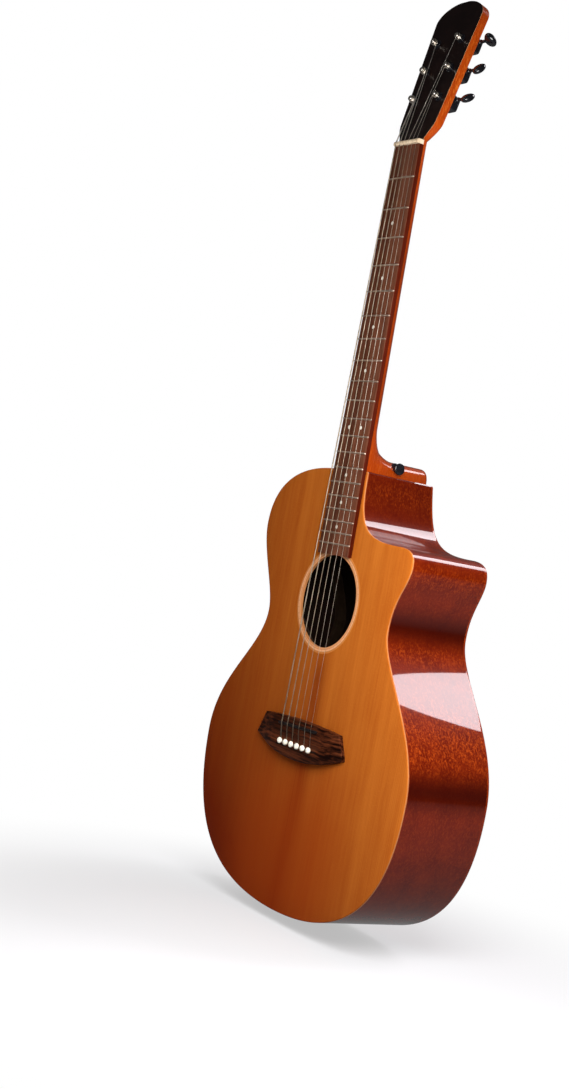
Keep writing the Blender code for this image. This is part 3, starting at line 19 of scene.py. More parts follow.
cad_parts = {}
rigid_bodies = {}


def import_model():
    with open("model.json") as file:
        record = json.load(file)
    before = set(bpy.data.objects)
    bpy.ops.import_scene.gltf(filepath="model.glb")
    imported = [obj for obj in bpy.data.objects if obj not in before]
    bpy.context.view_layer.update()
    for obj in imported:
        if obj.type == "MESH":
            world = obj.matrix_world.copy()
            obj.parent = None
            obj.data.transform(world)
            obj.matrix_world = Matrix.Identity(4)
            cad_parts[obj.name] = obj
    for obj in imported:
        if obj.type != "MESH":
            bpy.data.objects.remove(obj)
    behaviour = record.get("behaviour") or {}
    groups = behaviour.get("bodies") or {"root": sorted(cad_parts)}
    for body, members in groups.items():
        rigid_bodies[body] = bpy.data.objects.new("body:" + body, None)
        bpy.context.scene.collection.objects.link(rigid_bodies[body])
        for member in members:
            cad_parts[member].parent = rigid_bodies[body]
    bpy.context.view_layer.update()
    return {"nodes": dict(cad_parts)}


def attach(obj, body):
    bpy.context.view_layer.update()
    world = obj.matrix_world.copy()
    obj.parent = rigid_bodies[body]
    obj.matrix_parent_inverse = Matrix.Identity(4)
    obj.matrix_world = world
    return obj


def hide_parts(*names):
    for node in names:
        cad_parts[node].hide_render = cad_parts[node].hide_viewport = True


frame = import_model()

Triple = tuple[float, float, float]
Pair = tuple[float, float]
Term = Union["Signal", float]

LOG = logging.getLogger("guitar")
ROOT = "guitar"
STRINGS = 6
WELD = 2e-7
NUT_LINE: Pair = (0.866, 0.876)
# colour of the painted highlight on metal above the nut
PAINTED_HEAD_HIGHLIGHT: Triple = (0.96, 0.88, 0.78)


class Slot(Enum):
    """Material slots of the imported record."""

    TOP = "spruce_top"
    SIDE = "red_mahogany"
    NECK = "neck_wood"
    ROSEWOOD = "rosewood"
    VENEER = "black_veneer"
    BONE = "cream_bone"
    PIN = "ivory_pin"
    SADDLE = "dark_saddle"
    INLAY = "pale_inlay"
    BLACK = "black_metal"
    STRING = "string_metal"
    STEEL = "steel"


# ---------------------------------------------------------------- shader bench


def operator(name: str) -> Callable[["Signal", Term], "Signal"]:
    """Make a method that runs one operation of the Math node.

    Args:
        name: the operation's name.

    Returns:
        The method; operations of one value leave the other at 0.
    """
    def run(this: "Signal", other: Term = 0.0) -> "Signal":
        """Run the operation on this value and another."""
        return this.calc(name, other)
    return run


class Signal:
    """A shader value that takes part in sums like a number."""

    def __init__(self, bench: "Bench", socket: bpy.types.NodeSocket) -> None:
        """Wrap a socket of a bench's tree."""
        self.bench = bench
        self.socket = socket

    def calc(self, operation: str, other: Term, clamp: bool = False) -> "Signal":
        """Run a Math node on this value and another.

        Args:
            operation: the node's operation.
            other: the second input.
            clamp: whether the result is kept between 0 and 1.

        Returns:
            The node's result.
        """
        node = self.bench.tree.nodes.new("ShaderNodeMath")
        node.operation, node.use_clamp = operation, clamp
        self.bench.feed(node.inputs[0], self)
        self.bench.feed(node.inputs[1], other)
        return Signal(self.bench, node.outputs[0])

    __add__ = __radd__ = operator("ADD")
    __mul__ = __rmul__ = operator("MULTIPLY")
    __sub__ = operator("SUBTRACT")
    __truediv__ = operator("DIVIDE")
    __pow__ = operator("POWER")
    __abs__ = operator("ABSOLUTE")
    wave = operator("SINE")
    top = operator("MAXIMUM")

    def __rsub__(self, other: float) -> "Signal":
        """Difference from a number."""
        return self * -1.0 + other

    def held(self) -> "Signal":
        """This value kept between 0 and 1."""
        return self.calc("ADD", 0.0, clamp=True)

    def rise(self, low: float, high: float) -> "Signal":
        """Smooth step of this value.

        Args:
            low: value at which the step leaves 0.
            high: value at which it reaches 1.

        Returns:
            The step, 3t^2 - 2t^3 of the share t between low and high.
        """
        values = {"Value": self, "From Min": low, "From Max": high}
        return self.bench.node("ShaderNodeMapRange", values,
                               interpolation_type="SMOOTHSTEP")["Result"]


class Bench:
    """A node tree with short ways to add its nodes."""

    def __init__(self, tree: bpy.types.NodeTree) -> None:
        """Start from an empty tree."""
        self.tree = tree
        tree.nodes.clear()

    def feed(self, socket: bpy.types.NodeSocket, value: object) -> None:
        """Set a socket to a value, or link a signal to it.

        Args:
            socket: the input.
            value: a number, a colour or a signal.
        """
        if isinstance(value, Signal):
            self.tree.links.new(value.socket, socket)
        else:
            socket.default_value = value

    def node(self, kind: str, values: dict | None = None, **settings: str) -> dict[str, Signal]:
        """Add a node.

        Args:
            kind: the node's type.
            values: numbers, colours or signals by socket name or number.
            settings: properties, set before the sockets.

        Returns:
            The node's enabled outputs by name.
        """
        made = self.tree.nodes.new(kind)
        for name, value in settings.items():
            setattr(made, name, value)
        for name, value in (values or {}).items():
            self.feed(made.inputs[name], value)
        return {out.name: Signal(self, out) for out in made.outputs if out.enabled}

    def blend(self, share: Term, first: object, second: object,
              how: str = "MIX") -> Signal:
        """Mix two colours.

        Args:
            share: how much of the second one is taken.
            first: the first colour, a signal or a triple.
            second: the second colour, a signal or a triple.
            how: the Mix node's blend type.

        Returns:
            The mixed colour.
        """
        made = self.tree.nodes.new("ShaderNodeMix")
        made.data_type = "RGBA"
        made.blend_type = how
        self.feed(made.inputs[0], share)
        for place, colour in ((6, first), (7, second)):
            self.feed(made.inputs[place], colour if isinstance(colour, Signal) else (*colour, 1))
        return Signal(self, made.outputs[2])

    def place(self) -> Signal:
        """Object coordinates."""
        return self.node("ShaderNodeTexCoord")["Object"]

    def sheet(self) -> Signal:
        """The piece's own UV map, in metres."""
        return self.node("ShaderNodeTexCoord")["UV"]

    def axes(self, vector: Signal) -> tuple[Signal, Signal, Signal]:
        """Parts of a vector."""
        parts = self.node("ShaderNodeSeparateXYZ", {"Vector": vector})
        return parts["X"], parts["Y"], parts["Z"]

    def stretch(self, vector: Signal, scale: Triple) -> Signal:
        """Scale a vector with a Mapping node."""
        values = {"Vector": vector, "Scale": scale}
        return self.node("ShaderNodeMapping", values)["Vector"]

    def noise(self, vector: Signal, scale: float, detail: float = 2.0, rough: float = 0.5,
              swirl: float = 0.0) -> Signal:
        """Add a Noise Texture.

        Args:
            vector: where it is read.
            scale: how fine it is.
            detail: its octaves.
            rough: strength of each octave against the one before.
            swirl: how far it is distorted.

        Returns:
            The noise, between 0 and 1.
        """
        values = {"Vector": vector, "Scale": scale, "Detail": detail, "Roughness": rough,
                  "Distortion": swirl}
        return self.node("ShaderNodeTexNoise", values)["Fac"]

    def grain(self, vector: Signal, scale: Triple, detail: float = 2.0, rough: float = 0.5,
              swirl: float = 0.0) -> Signal:
        """Add noise with its own scale along each axis; a smaller one draws it out.

        Args:
            vector: where it is read.
            scale: how fine it is along each axis.
            detail: its octaves.
            rough: strength of each octave against the one before.
            swirl: how far it is distorted.

        Returns:
            The noise, between 0 and 1.
        """
        return self.noise(self.stretch(vector, scale), 1.0, detail, rough, swirl)

    def paint_head_highlight(self, colour: Signal) -> Signal:
        """Paint a highlight into a metal's colour above the nut, where the head leans back."""
        _, _, high = self.axes(self.place())
        return self.blend(high.rise(*NUT_LINE), colour, PAINTED_HEAD_HIGHLIGHT)

    def relief(self, height: Signal, depth: float, strength: float = 1.0) -> Signal:
        """Bumped normal from a height between 0 and 1 and a depth in metres."""
        values = {"Height": height, "Distance": depth, "Strength": strength}
        return self.node("ShaderNodeBump", values)["Normal"]

    def shine(self, values: dict) -> None:
        """End the tree in a Principled shader."""
        shader = self.node("ShaderNodeBsdfPrincipled", values)["BSDF"]
        self.node("ShaderNodeOutputMaterial", {"Surface": shader})


@dataclass(frozen=True)
class Finish:
    """A procedural finish; each kind paints its own pattern."""

    name: str

    def paint(self, bench: Bench) -> None:
        """Fill the bench's tree."""
        raise NotImplementedError(self.name)

    def make(self) -> bpy.types.Material:
        """Make the finish's material, once.

        Returns:
            The material.
        """
        found = bpy.data.materials.get(self.name)
        if found:
            return found
        made = bpy.data.materials.new(self.name)
        made.use_nodes = True
        self.paint(Bench(made.node_tree))
        return made


@dataclass(frozen=True)
class BoardWood(Finish):
    """Softwood of the soundboard: fine upright grain, bookmatched at the middle, with painted
    shade towards the bass side and the bottom.
    """

    pale: Triple = (0.66, 0.206, 0.026)
    deep: Triple = (0.34, 0.066, 0.005)
    # dark tone of the heart and the seam, also used for the painted shade
    heart_and_shade_tone: Triple = (0.155, 0.0110, 0.0004)
    ember: Triple = (0.34, 0.044, 0.003)
    lip: Triple = (0.80, 0.38, 0.17)
    ring_rate: float = 4300.0
    ring_spread: float = 6000.0
    streak_rates: Triple = (42.0, 330.0, 1100.0)
    heart_half: float = 0.020
    hole_z: float = 0.3577
    lip_reach: float = 0.0534
    lip_soft: float = 0.0003

    def paint(self, bench: Bench) -> None:
        """Streaks are noise drawn out along Z over the folded X; lines close up to the seam.

        A dark heart tone marks the heart beside the seam and the seam itself. The same tone is
        painted shade: sums of distances past given heights and sides darken the board towards the
        bass side, the bottom and the lower middle. A pale lip tone rings the hole's rim.

        Args:
            bench: the material's node tree.
        """
        spot = bench.place()
        x, _, z = bench.axes(spot)
        fold = abs(x)
        wander = bench.grain(spot, (9, 1, 2.2))
        across = fold + wander * 0.006
        run = bench.node("ShaderNodeCombineXYZ", {"X": across, "Z": z * 0.03})["Vector"]
        wide_rate, fine_rate, hair_rate = self.streak_rates
        broad = bench.noise(run, wide_rate, 3, 0.6)
        fine = bench.noise(run, fine_rate, 3, 0.65)
        hair = bench.noise(run, hair_rate)
        cloud = bench.grain(spot, (26, 1, 13), 3, 0.55)
        turns = across * self.ring_rate - fold * fold * self.ring_spread + wander * 5.0
        rings = turns.wave() * 0.5 + 0.5
        silk = bench.grain(spot, (150, 1, 620), 3, 0.6)
        tone = (broad * 0.85 + fine * 0.55 + hair * 0.45 + cloud * 0.55 - 0.76).held()
        colour = bench.blend(tone, self.deep, self.pale)
        colour = bench.blend((rings ** 3.0) * 0.26, colour, self.deep)
        colour = bench.blend(silk.rise(0.50, 0.75) * 0.16, colour, self.pale)
        middle = 0.010 - (0.135 - z).top(0.0) * 0.105
        aside = abs(x - middle) / self.heart_half
        heart = (1.0 - aside.rise(0.12, 1.0)) * fine.rise(0.25, 0.62)
        colour = bench.blend(heart * (1.0 - z.rise(0.27, 0.33)) * 0.62, colour, self.heart_and_shade_tone)
        # painted shade: darker towards the bass side, the bottom and the lower middle, mottled by
        # noise
        shade = (0.14 - x).top(0.0) * (2.9 - z * 3.6) + (0.30 - z).top(0.0) \
            + (0.14 - z).top(0.0) * 0.9 + (0.06 - fold).top(0.0) * (0.30 - z).top(0.0) * 9.0
        colour = bench.blend((shade + (cloud - 0.5) * 0.22).held() * 0.95, colour, self.heart_and_shade_tone)
        warm = (1.0 - z.rise(0.09, 0.24)) * (1.0 - fold.rise(0.05, 0.15))
        colour = bench.blend(warm * 0.55, colour, self.ember)
        seam = 1.0 - (fold * 1000.0).rise(0.15, 0.55)
        colour = bench.blend(seam * 0.35, colour, self.heart_and_shade_tone)
        round_hole = ((z - self.hole_z) ** 2.0 + fold ** 2.0) ** 0.5
        lip = 1.0 - round_hole.rise(self.lip_reach, self.lip_reach + self.lip_soft)
        colour = bench.blend(lip * 0.7, colour, self.lip)
        bench.shine({"Base Color": colour, "Roughness": 0.42 + fine * 0.16,
                     "Specular IOR Level": 0.04,
                     "Normal": bench.relief(rings * 0.5 + fine, 0.00003, 0.35)})


@dataclass(frozen=True)
class Mahogany(Finish):
    """Glossy hardwood: bright flecks over a dark ground, with painted highlights and painted shade
    by height.
    """

    bright: Triple = (0.42, 0.058, 0.004)
    pale: Triple = (0.165, 0.0125, 0.0006)
    deep: Triple = (0.080, 0.0032, 0.0002)
    speck: float = 0.16
    on_sheet: bool = True
    coat: float = 1.0
    rough: float = 0.28
    # painted highlights: humps by height, as middle, reach and strength, that brighten the flecks
    painted_highlights: tuple[Triple, ...] = (
        (0.238, 0.050, 0.66), (0.321, 0.018, 0.34), (0.404, 0.020, 0.30), (0.437, 0.016, 0.30),
        (0.484, 0.024, 0.50))
    # painted shade: humps by height, as middle, reach and darkening
    bands: tuple[Triple, ...] = ((0.190, 0.030, 0.90), (0.350, 0.030, 0.93), (0.480, 0.080, 0.50))
    dull_above: float = 2.0
    throat_floor: float = 0.4355

    def zones(self, high: Signal, table: tuple[Triple, ...]) -> list[tuple[Signal, float]]:
        """Soft humps round given heights.

        Args:
            high: the height.
            table: middle, reach and strength of each hump.

        Returns:
            Each hump, 1 at its middle, with its strength.
        """
        return [(1.0 - abs(high - middle).rise(0.0, reach), size)
                for middle, reach, size in table]

    def paint(self, bench: Bench) -> None:
        """Flecks are swirled noise a little longer than wide; pores are thin lines of grain.

        Humps by height are painted highlights that brighten the flecks; bands by height are
        painted shade that darkens the wood, towards the treble side alone where the piece wears
        its sheet.
        The gloss is weaker on the throat's floor.

        Args:
            bench: the material's node tree.
        """
        spot = bench.sheet() if self.on_sheet else bench.place()
        along = (340, 470, 340) if self.on_sheet else (620, 620, 110)
        flecks = bench.grain(spot, along, 3, 0.60, 0.8)
        cloud = bench.grain(spot, tuple(v * 0.10 for v in along), 3, 0.5, 0.4)
        figure = bench.grain(spot, tuple(v * 0.42 for v in along), 2, 0.5, 1.8)
        long = (150, 1500, 150) if self.on_sheet else (1500, 1500, 150)
        pores = bench.grain(spot, long)
        away, _, high = bench.axes(bench.place())
        colour = bench.blend((cloud * 1.2 + figure * 0.5 - 0.35).held(), self.deep, self.pale)
        colour = bench.blend(pores.rise(0.55, 0.75) * 0.35, colour, self.deep)
        spark = (flecks * 0.62 + figure * 0.38).rise(0.44, 0.69)
        force: Term = self.speck
        # painted highlights: brighter flecks at given heights
        for hump, size in self.zones(high, self.painted_highlights):
            force = hump * size + force
        colour = bench.blend((spark * force).held(), colour, self.bright)
        # painted shade: darker wood at given heights, on the treble side alone where the piece
        # wears its sheet
        dark = tuple(0.4 * v for v in self.deep)
        inward = away.rise(-0.02, 0.02) if self.on_sheet else 1.0
        for hump, loss in self.zones(high, self.bands):
            colour = bench.blend(hump * loss * inward, colour, dark)
        gloss = (1.0 - high.rise(self.dull_above, self.dull_above + 0.04)) * self.coat
        if self.on_sheet:
            floor = 1.0 - abs(high - self.throat_floor).rise(0.0055, 0.0085)
            gloss = gloss * (1.0 - floor * inward * 0.6)
        bench.shine({"Base Color": colour, "Roughness": self.rough + flecks * 0.10,
                     "Specular IOR Level": 0.05, "Coat Weight": gloss,
                     "Coat Roughness": 0.025, "Coat IOR": 1.55,
                     "Normal": bench.relief(pores, 0.00002, 0.12)})


@dataclass(frozen=True)
class OpenWood(Finish):
    """Bare or oiled hardwood with streaks and open pores along one axis."""

    pale: Triple = (0.17, 0.062, 0.034)
    deep: Triple = (0.045, 0.014, 0.009)
    grain: Triple = (420.0, 420.0, 9.0)
    rough: float = 0.46
    sheen: float = 0.0
    contrast: float = 1.5
    lift: float = 0.0

    def paint(self, bench: Bench) -> None:
        """Streaks and pores are noises drawn out along the grain's axis.

        Args:
            bench: the material's node tree.
        """
        spot = bench.place()
        bend = bench.noise(spot, 18.0)
        moved = bench.blend(0.02, spot, bench.blend(bend, (-0.5, -0.5, -0.5), (0.5, 0.5, 0.5)),
                            "ADD")
        streak = bench.grain(moved, self.grain, 4, 0.65)
        band = bench.grain(moved, tuple(v * 0.22 for v in self.grain))
        pore = bench.grain(spot, tuple(v * 4.5 for v in self.grain), 1)
        level = (streak - 0.5) * self.contrast + (band - 0.5) * 1.3 + (0.5 + self.lift)
        colour = bench.blend(level.held(), self.deep, self.pale)
        pits = pore.rise(0.62, 0.75)
        colour = bench.blend(pits * 0.6, colour, tuple(v * 0.4 for v in self.deep))
        bench.shine({"Base Color": colour, "Roughness": (pits * 0.2 + self.rough).held(),
                     "Specular IOR Level": 0.08, "Coat Weight": self.sheen,
                     "Coat Roughness": 0.2, "Normal": bench.relief(pits, -0.00004, 0.5)})


@dataclass(frozen=True)
class Lacquer(Finish):
    """Smooth moulded or lacquered surface with faint mottling and handling marks."""

    tone: Triple = (0.010, 0.009, 0.010)
    shade: Triple = (0.016, 0.012, 0.012)
    rough: float = 0.16
    coat: float = 0.6
    mottle: float = 140.0

    def paint(self, bench: Bench) -> None:
        """Tone wavers with slow noise; fine scratches vary the roughness.

        Args:
            bench: the material's node tree.
        """
        spot = bench.place()
        slow = bench.noise(spot, self.mottle, 3, 0.6)
        rub = bench.grain(spot, (900, 2600, 700))
        colour = bench.blend(slow.rise(0.3, 0.7), self.tone, self.shade)
        bench.shine({"Base Color": colour, "Roughness": self.rough + rub.rise(0.5, 0.8) * 0.10,
                     "Coat Weight": self.coat, "Coat Roughness": 0.05, "Specular IOR Level": 0.2,
                     "Normal": bench.relief(slow, 0.00002, 0.15)})


@dataclass(frozen=True)
class Metal(Finish):
    """Plated or drawn metal, brushed along one axis and dulled in patches."""

    tone: Triple = (0.74, 0.71, 0.66)
    dull: Triple = (0.52, 0.47, 0.40)
    rough: float = 0.22
    brush: Triple = (1800.0, 1800.0, 300.0)

    def paint(self, bench: Bench) -> None:
        """Patches follow slow noise; brushing is noise drawn out along an axis; above the nut the
        colour gets a painted highlight.

        Args:
            bench: the material's node tree.
        """
        spot = bench.place()
        patch = bench.noise(spot, 90.0, 3, 0.6).rise(0.35, 0.75)
        lines = bench.grain(spot, self.brush)
        colour = bench.paint_head_highlight(bench.blend(patch * 0.7, self.tone, self.dull))
        bench.shine({"Base Color": colour, "Metallic": 1.0,
                     "Roughness": self.rough + lines * 0.10 + patch * 0.10,
                     "Normal": bench.relief(lines, 0.00001, 0.2)})


@dataclass(frozen=True)
class WoundWire(Finish):
    """Core wire wrapped in fine turns, which the piece's sheet counts along its length."""

    tone: Triple = (0.46, 0.37, 0.28)
    dull: Triple = (0.29, 0.22, 0.15)
    pitch: float = 0.00042

    def paint(self, bench: Bench) -> None:
        """Turns are a sine of the length over the pitch, with painted shade in the gaps between
        them;
        tarnish follows slow noise; above the nut the colour gets a painted highlight.

        Args:
            bench: the material's node tree.
        """
        length, _, _ = bench.axes(bench.sheet())
        turn = (length * (2 * pi / self.pitch)).wave() * 0.5 + 0.5
        tarnish = bench.noise(bench.place(), 60.0, 3, 0.6)
        colour = bench.blend(tarnish.rise(0.35, 0.7), self.tone, self.dull)
        # painted shade in the gaps between the turns
        dark = tuple(v * 0.35 for v in self.dull)
        colour = bench.paint_head_highlight(bench.blend((1.0 - turn) * 0.5, colour, dark))
        bench.shine({"Base Color": colour, "Metallic": 1.0, "Roughness": 0.26 + tarnish * 0.1,
                     "Normal": bench.relief(turn, 0.00006, 0.6)})


@dataclass(frozen=True)
class Shell(Finish):
    """Pearly inlay whose layers shift between warm and cool."""

    tone: Triple = (0.86, 0.80, 0.68)
    cool: Triple = (0.60, 0.68, 0.66)

    def paint(self, bench: Bench) -> None:
        """Layers are swirled noise turned into soft bands.

        Args:
            bench: the material's node tree.
        """
        layers = bench.noise(bench.place(), 300.0, 3, 0.5, 2.5)
        bands = (layers * 24.0).wave() * 0.5 + 0.5
        colour = bench.blend(bands * 0.6, self.tone, self.cool)
        bench.shine({"Base Color": colour, "Roughness": 0.2 + bands * 0.1, "Coat Weight": 0.5,
                     "Coat Roughness": 0.05, "Normal": bench.relief(layers, 0.00002, 0.3)})


@dataclass(frozen=True)
class RingInlay(Finish):
    """Ring round the sound hole: pale wood between thin lines, which the sheet counts across."""

    tone: Triple = (0.82, 0.41, 0.20)
    line: Triple = (0.20, 0.060, 0.018)
    outer: Triple = (0.60, 0.21, 0.045)
    tone_dark: Triple = (0.50, 0.23, 0.10)
    outer_dark: Triple = (0.40, 0.115, 0.018)

    def paint(self, bench: Bench) -> None:
        """A pale inner band of short end grain, a thin dark line, then a band like the board.

        Args:
            bench: the material's node tree.
        """
        round_way, across, _ = bench.axes(bench.sheet())
        blocks = bench.grain(bench.sheet(), (700, 300, 1))
        colour = bench.blend(blocks * 0.5, self.tone, self.tone_dark)
        colour = bench.blend((round_way * 900.0).wave().rise(0.7, 1.0) * 0.20, colour, self.line)
        plain = bench.blend(blocks.rise(0.3, 0.7) * 0.5, self.outer, self.outer_dark)
        colour = bench.blend(across.rise(0.52, 0.60), colour, plain)
        edges = (1.0 - abs(across - 0.06).rise(0.02, 0.07)) * 0.5 \
            + (1.0 - abs(across - 0.55).rise(0.015, 0.05)) * 0.6
        colour = bench.blend(edges.held(), colour, self.line)
        bench.shine({"Base Color": colour, "Roughness": 0.38 + blocks * 0.1,
                     "Specular IOR Level": 0.12,
                     "Normal": bench.relief(blocks, 0.00002, 0.2)})


TOP_WOOD = BoardWood("soundboard_softwood")
TOP_EDGE = OpenWood("soundboard_edge", pale=(0.50, 0.21, 0.075), deep=(0.36, 0.12, 0.035),
                    grain=(60.0, 900.0, 60.0), rough=0.30, sheen=0.5, contrast=0.8)
SIDE_WOOD = Mahogany("side_mahogany")
BACK_WOOD = Mahogany("back_mahogany", bright=(0.46, 0.070, 0.005), pale=(0.22, 0.020, 0.001),
                     deep=(0.11, 0.0060, 0.0004), speck=0.45, on_sheet=False, painted_highlights=(), bands=())
# the neck's bands are painted shade on the heel, the shaft and the head's crown; its hump is a
# painted highlight on the head's middle
NECK_WOOD = Mahogany("neck_mahogany", bright=(0.78, 0.185, 0.018), pale=(0.54, 0.072, 0.004),
                     deep=(0.33, 0.034, 0.002), speck=0.22, on_sheet=False, coat=0.8, rough=0.22,
                     painted_highlights=((0.940, 0.070, 0.65),),
                     bands=((0.508, 0.045, 0.45), (0.585, 0.105, 0.78), (0.720, 0.190, 0.80),
                            (1.036, 0.035, 0.55)), dull_above=0.90)
# the inside wood and the braces are painted near black: painted shade inside the body
RAW_WOOD_PAINTED_SHADE = OpenWood("raw_inner_mahogany_painted_shade", pale=(0.012, 0.006, 0.004),
                    deep=(0.007, 0.0035, 0.0025), grain=(300.0, 300.0, 40.0), rough=0.8)
BRACE_WOOD_PAINTED_SHADE = OpenWood("raw_brace_spruce_painted_shade", pale=(0.030, 0.018, 0.010), deep=(0.018, 0.010, 0.006),
                      grain=(500.0, 500.0, 500.0), rough=0.75, contrast=0.8)
BOARD_WOOD = OpenWood("fingerboard_rosewood", pale=(0.17, 0.058, 0.030),
                      deep=(0.050, 0.014, 0.007))
BOARD_SIDE = OpenWood("fingerboard_side", pale=(0.085, 0.0090, 0.0020),
                      deep=(0.036, 0.0032, 0.0008))
BRIDGE_WOOD = OpenWood("bridge_rosewood", pale=(0.150, 0.036, 0.012),
                       deep=(0.006, 0.0010, 0.0005), grain=(8.0, 420.0, 420.0), rough=0.40,
                       contrast=3.2, lift=-0.20)
FACE_VENEER = Lacquer("head_veneer_lacquer", tone=(0.006, 0.0022, 0.002),
                      shade=(0.012, 0.0045, 0.0035), rough=0.30, coat=0.10, mottle=60.0)
EDGE_LINE = OpenWood("head_line_maple", pale=(0.50, 0.28, 0.13), deep=(0.36, 0.17, 0.07),
                     grain=(200.0, 900.0, 60.0), rough=0.4)
BONE = Lacquer("nut_bone", tone=(0.84, 0.68, 0.48), shade=(0.74, 0.55, 0.36), rough=0.35,
               coat=0.1)
IVORY = Lacquer("pin_ivory", tone=(0.97, 0.93, 0.80), shade=(0.93, 0.87, 0.71), rough=0.28,
                coat=0.3)
DARK_BONE = Lacquer("saddle_black", tone=(0.006, 0.005, 0.005), shade=(0.012, 0.009, 0.009),
                    rough=0.45, coat=0.05)
TUNER_BLACK = Lacquer("tuner_black", tone=(0.006, 0.006, 0.008), shade=(0.010, 0.010, 0.013),
                      rough=0.12, coat=1.0)
NICKEL = Metal("post_nickel", tone=(0.82, 0.78, 0.70), dull=(0.64, 0.58, 0.50), rough=0.16)
FRET_METAL = Metal("fret_nickel_silver", tone=(0.80, 0.66, 0.54), dull=(0.62, 0.49, 0.38),
                   rough=0.42)
PLAIN_WIRE = Metal("plain_steel_wire", tone=(0.52, 0.45, 0.37), dull=(0.36, 0.30, 0.23),
                   rough=0.32, brush=(1800.0, 1800.0, 12.0))
ROUND_WIRE = WoundWire("wound_bronze_wire")
PEARL = Shell("dot_pearl")
ROSETTE = RingInlay("rosette_inlay")
GLEAMING = (NICKEL, FRET_METAL, PLAIN_WIRE, ROUND_WIRE, TUNER_BLACK, PEARL)


# ---------------------------------------------------------------- surfaces


def skin(name: str, grid: np.ndarray, finishes: list[Finish], *, caps: bool = False,
         zones: np.ndarray | None = None, sheet: np.ndarray | None = None,
         sharp: float = 35.0) -> bpy.types.Object:
    """Join a grid of points into one closed mesh object.

    Args:
        name: the piece's name.
        grid: points as (rows, columns, 3); a ring repeats its first column as its last, a
            closed run of rows repeats its first row, and a pole is a row of equal points.
        finishes: finishes, in the order that zones counts them.
        caps: whether the first and last rows are filled in as flat ends.
        zones: a finish number for each strip of faces between two columns.
        sheet: UV points as (rows, columns, 2).
        sharp: angle in degrees from which an edge stays sharp.

    Returns:
        The object, linked to the scene, with its place in its mesh.
    """
    rows, columns = grid.shape[:2]
    index = np.arange(rows * columns).reshape(rows, columns)
    quads = np.stack([index[:-1, :-1], index[:-1, 1:], index[1:, 1:], index[1:, :-1]], -1)
    faces = quads.reshape(-1, 4).tolist()
    strips = np.tile(np.zeros(columns - 1, int) if zones is None else zones, rows - 1)
    if caps:
        faces += [index[0, :-1].tolist(), index[-1, :-1].tolist()]
        strips = np.append(strips, [strips[0], strips[0]])
    mesh = bpy.data.meshes.new(name)
    mesh.from_pydata(grid.reshape(-1, 3).tolist(), [], faces)
    if sheet is not None:
        corners = np.zeros(len(mesh.loops), int)
        mesh.loops.foreach_get("vertex_index", corners)
        layer = mesh.uv_layers.new(name="sheet")
        layer.data.foreach_set("uv", sheet.reshape(-1, 2)[corners].astype(np.float32).ravel())
    for finish in finishes:
        mesh.materials.append(finish.make())
    mesh.polygons.foreach_set("material_index", strips.astype(np.int32))
    close(mesh)
    mesh.shade_smooth()
    mesh.set_sharp_from_angle(angle=radians(sharp))
    return put(name, mesh)


def put(name: str, data: bpy.types.ID) -> bpy.types.Object:
    """Make an object of a mesh, a camera or a lamp, in the scene.

    Args:
        name: its name.
        data: its mesh, camera or lamp.

    Returns:
        The object.
    """
    obj = bpy.data.objects.new(name, data)
    bpy.context.scene.collection.objects.link(obj)
    return obj


def close(mesh: bpy.types.Mesh) -> None:
    """Merge doubled points, drop flat scraps, split wide caps and turn the faces outwards.

    Args:
        mesh: the mesh to mend in place.
    """
    bm = bmesh.new()
    bm.from_mesh(mesh)
    bmesh.ops.remove_doubles(bm, verts=bm.verts, dist=WELD)
    bmesh.ops.dissolve_degenerate(bm, edges=bm.edges, dist=WELD)
    bmesh.ops.triangulate(bm, faces=[face for face in bm.faces if len(face.verts) > 4])
    bmesh.ops.recalc_face_normals(bm, faces=bm.faces)
    bm.to_mesh(mesh)
    bm.free()


def moved(grid: np.ndarray, place: Matrix) -> np.ndarray:
    """Carry points by a 4x4 placement."""
    table = np.array(place)
    return grid @ table[:3, :3].T + table[:3, 3]


def merged(name: str, parts: list[bpy.types.Object]) -> bpy.types.Object:
    """Put several objects' meshes into the first one and name it.

    Args:
        name: the whole piece's name.
        parts: objects with the same list of finishes.

    Returns:
        The first object, which holds all the meshes.
    """
    bm = bmesh.new()
    for part in parts:
        bm.from_mesh(part.data)
    first, rest = parts[0], parts[1:]
    bm.to_mesh(first.data)
    bm.free()
    for part in rest:
        bpy.data.objects.remove(part)
    first.name = name
    first.data.name = name
    return first


def turned(profile: list[Pair], segments: int = 48) -> np.ndarray:
    """Carry a profile round the local Z axis.

    Args:
        profile: points of (radius, height).
        segments: corners of each circle.

    Returns:
        Grid of (radius cos a, radius sin a, height), a row for each point of the profile.
    """
    radius, height = np.array(profile, float).T[:, :, None]
    angle = np.linspace(0, 2 * pi, segments + 1)
    return joined(radius * np.cos(angle), radius * np.sin(angle), height)


def joined(*parts: np.ndarray) -> np.ndarray:
    """Stack coordinates on a last axis, spread over one another's shapes."""
    return np.stack(np.broadcast_arrays(*parts), -1)


def even(line: np.ndarray, count: int) -> tuple[np.ndarray, np.ndarray]:
    """Resample a flat line evenly.

    Args:
        line: its points.
        count: how many points to return.

    Returns:
        Points, and their lengths along the line.
    """
    length = np.append(0, np.cumsum(np.hypot(*np.diff(line, axis=0).T)))
    at = np.linspace(0, length[-1], count)
    return np.stack([np.interp(at, length, line[:, i]) for i in (0, 1)], 1), at


def eased(points: list[Pair], count: int, soft: int = 9) -> np.ndarray:
    """Resample a polyline evenly and round its corners with a moving average.

    Args:
        points: corners of the line.
        count: how many points to return.
        soft: odd number of points that each mean takes in.

    Returns:
        The soft line's points.
    """
    dense, _ = even(np.array(points, float), count)
    kernel = np.ones(soft) / soft
    padded = np.vstack([np.repeat(dense[:1], soft // 2, 0), dense,
                        np.repeat(dense[-1:], soft // 2, 0)])
    return np.stack([np.convolve(padded[:, i], kernel, "valid") for i in (0, 1)], 1)


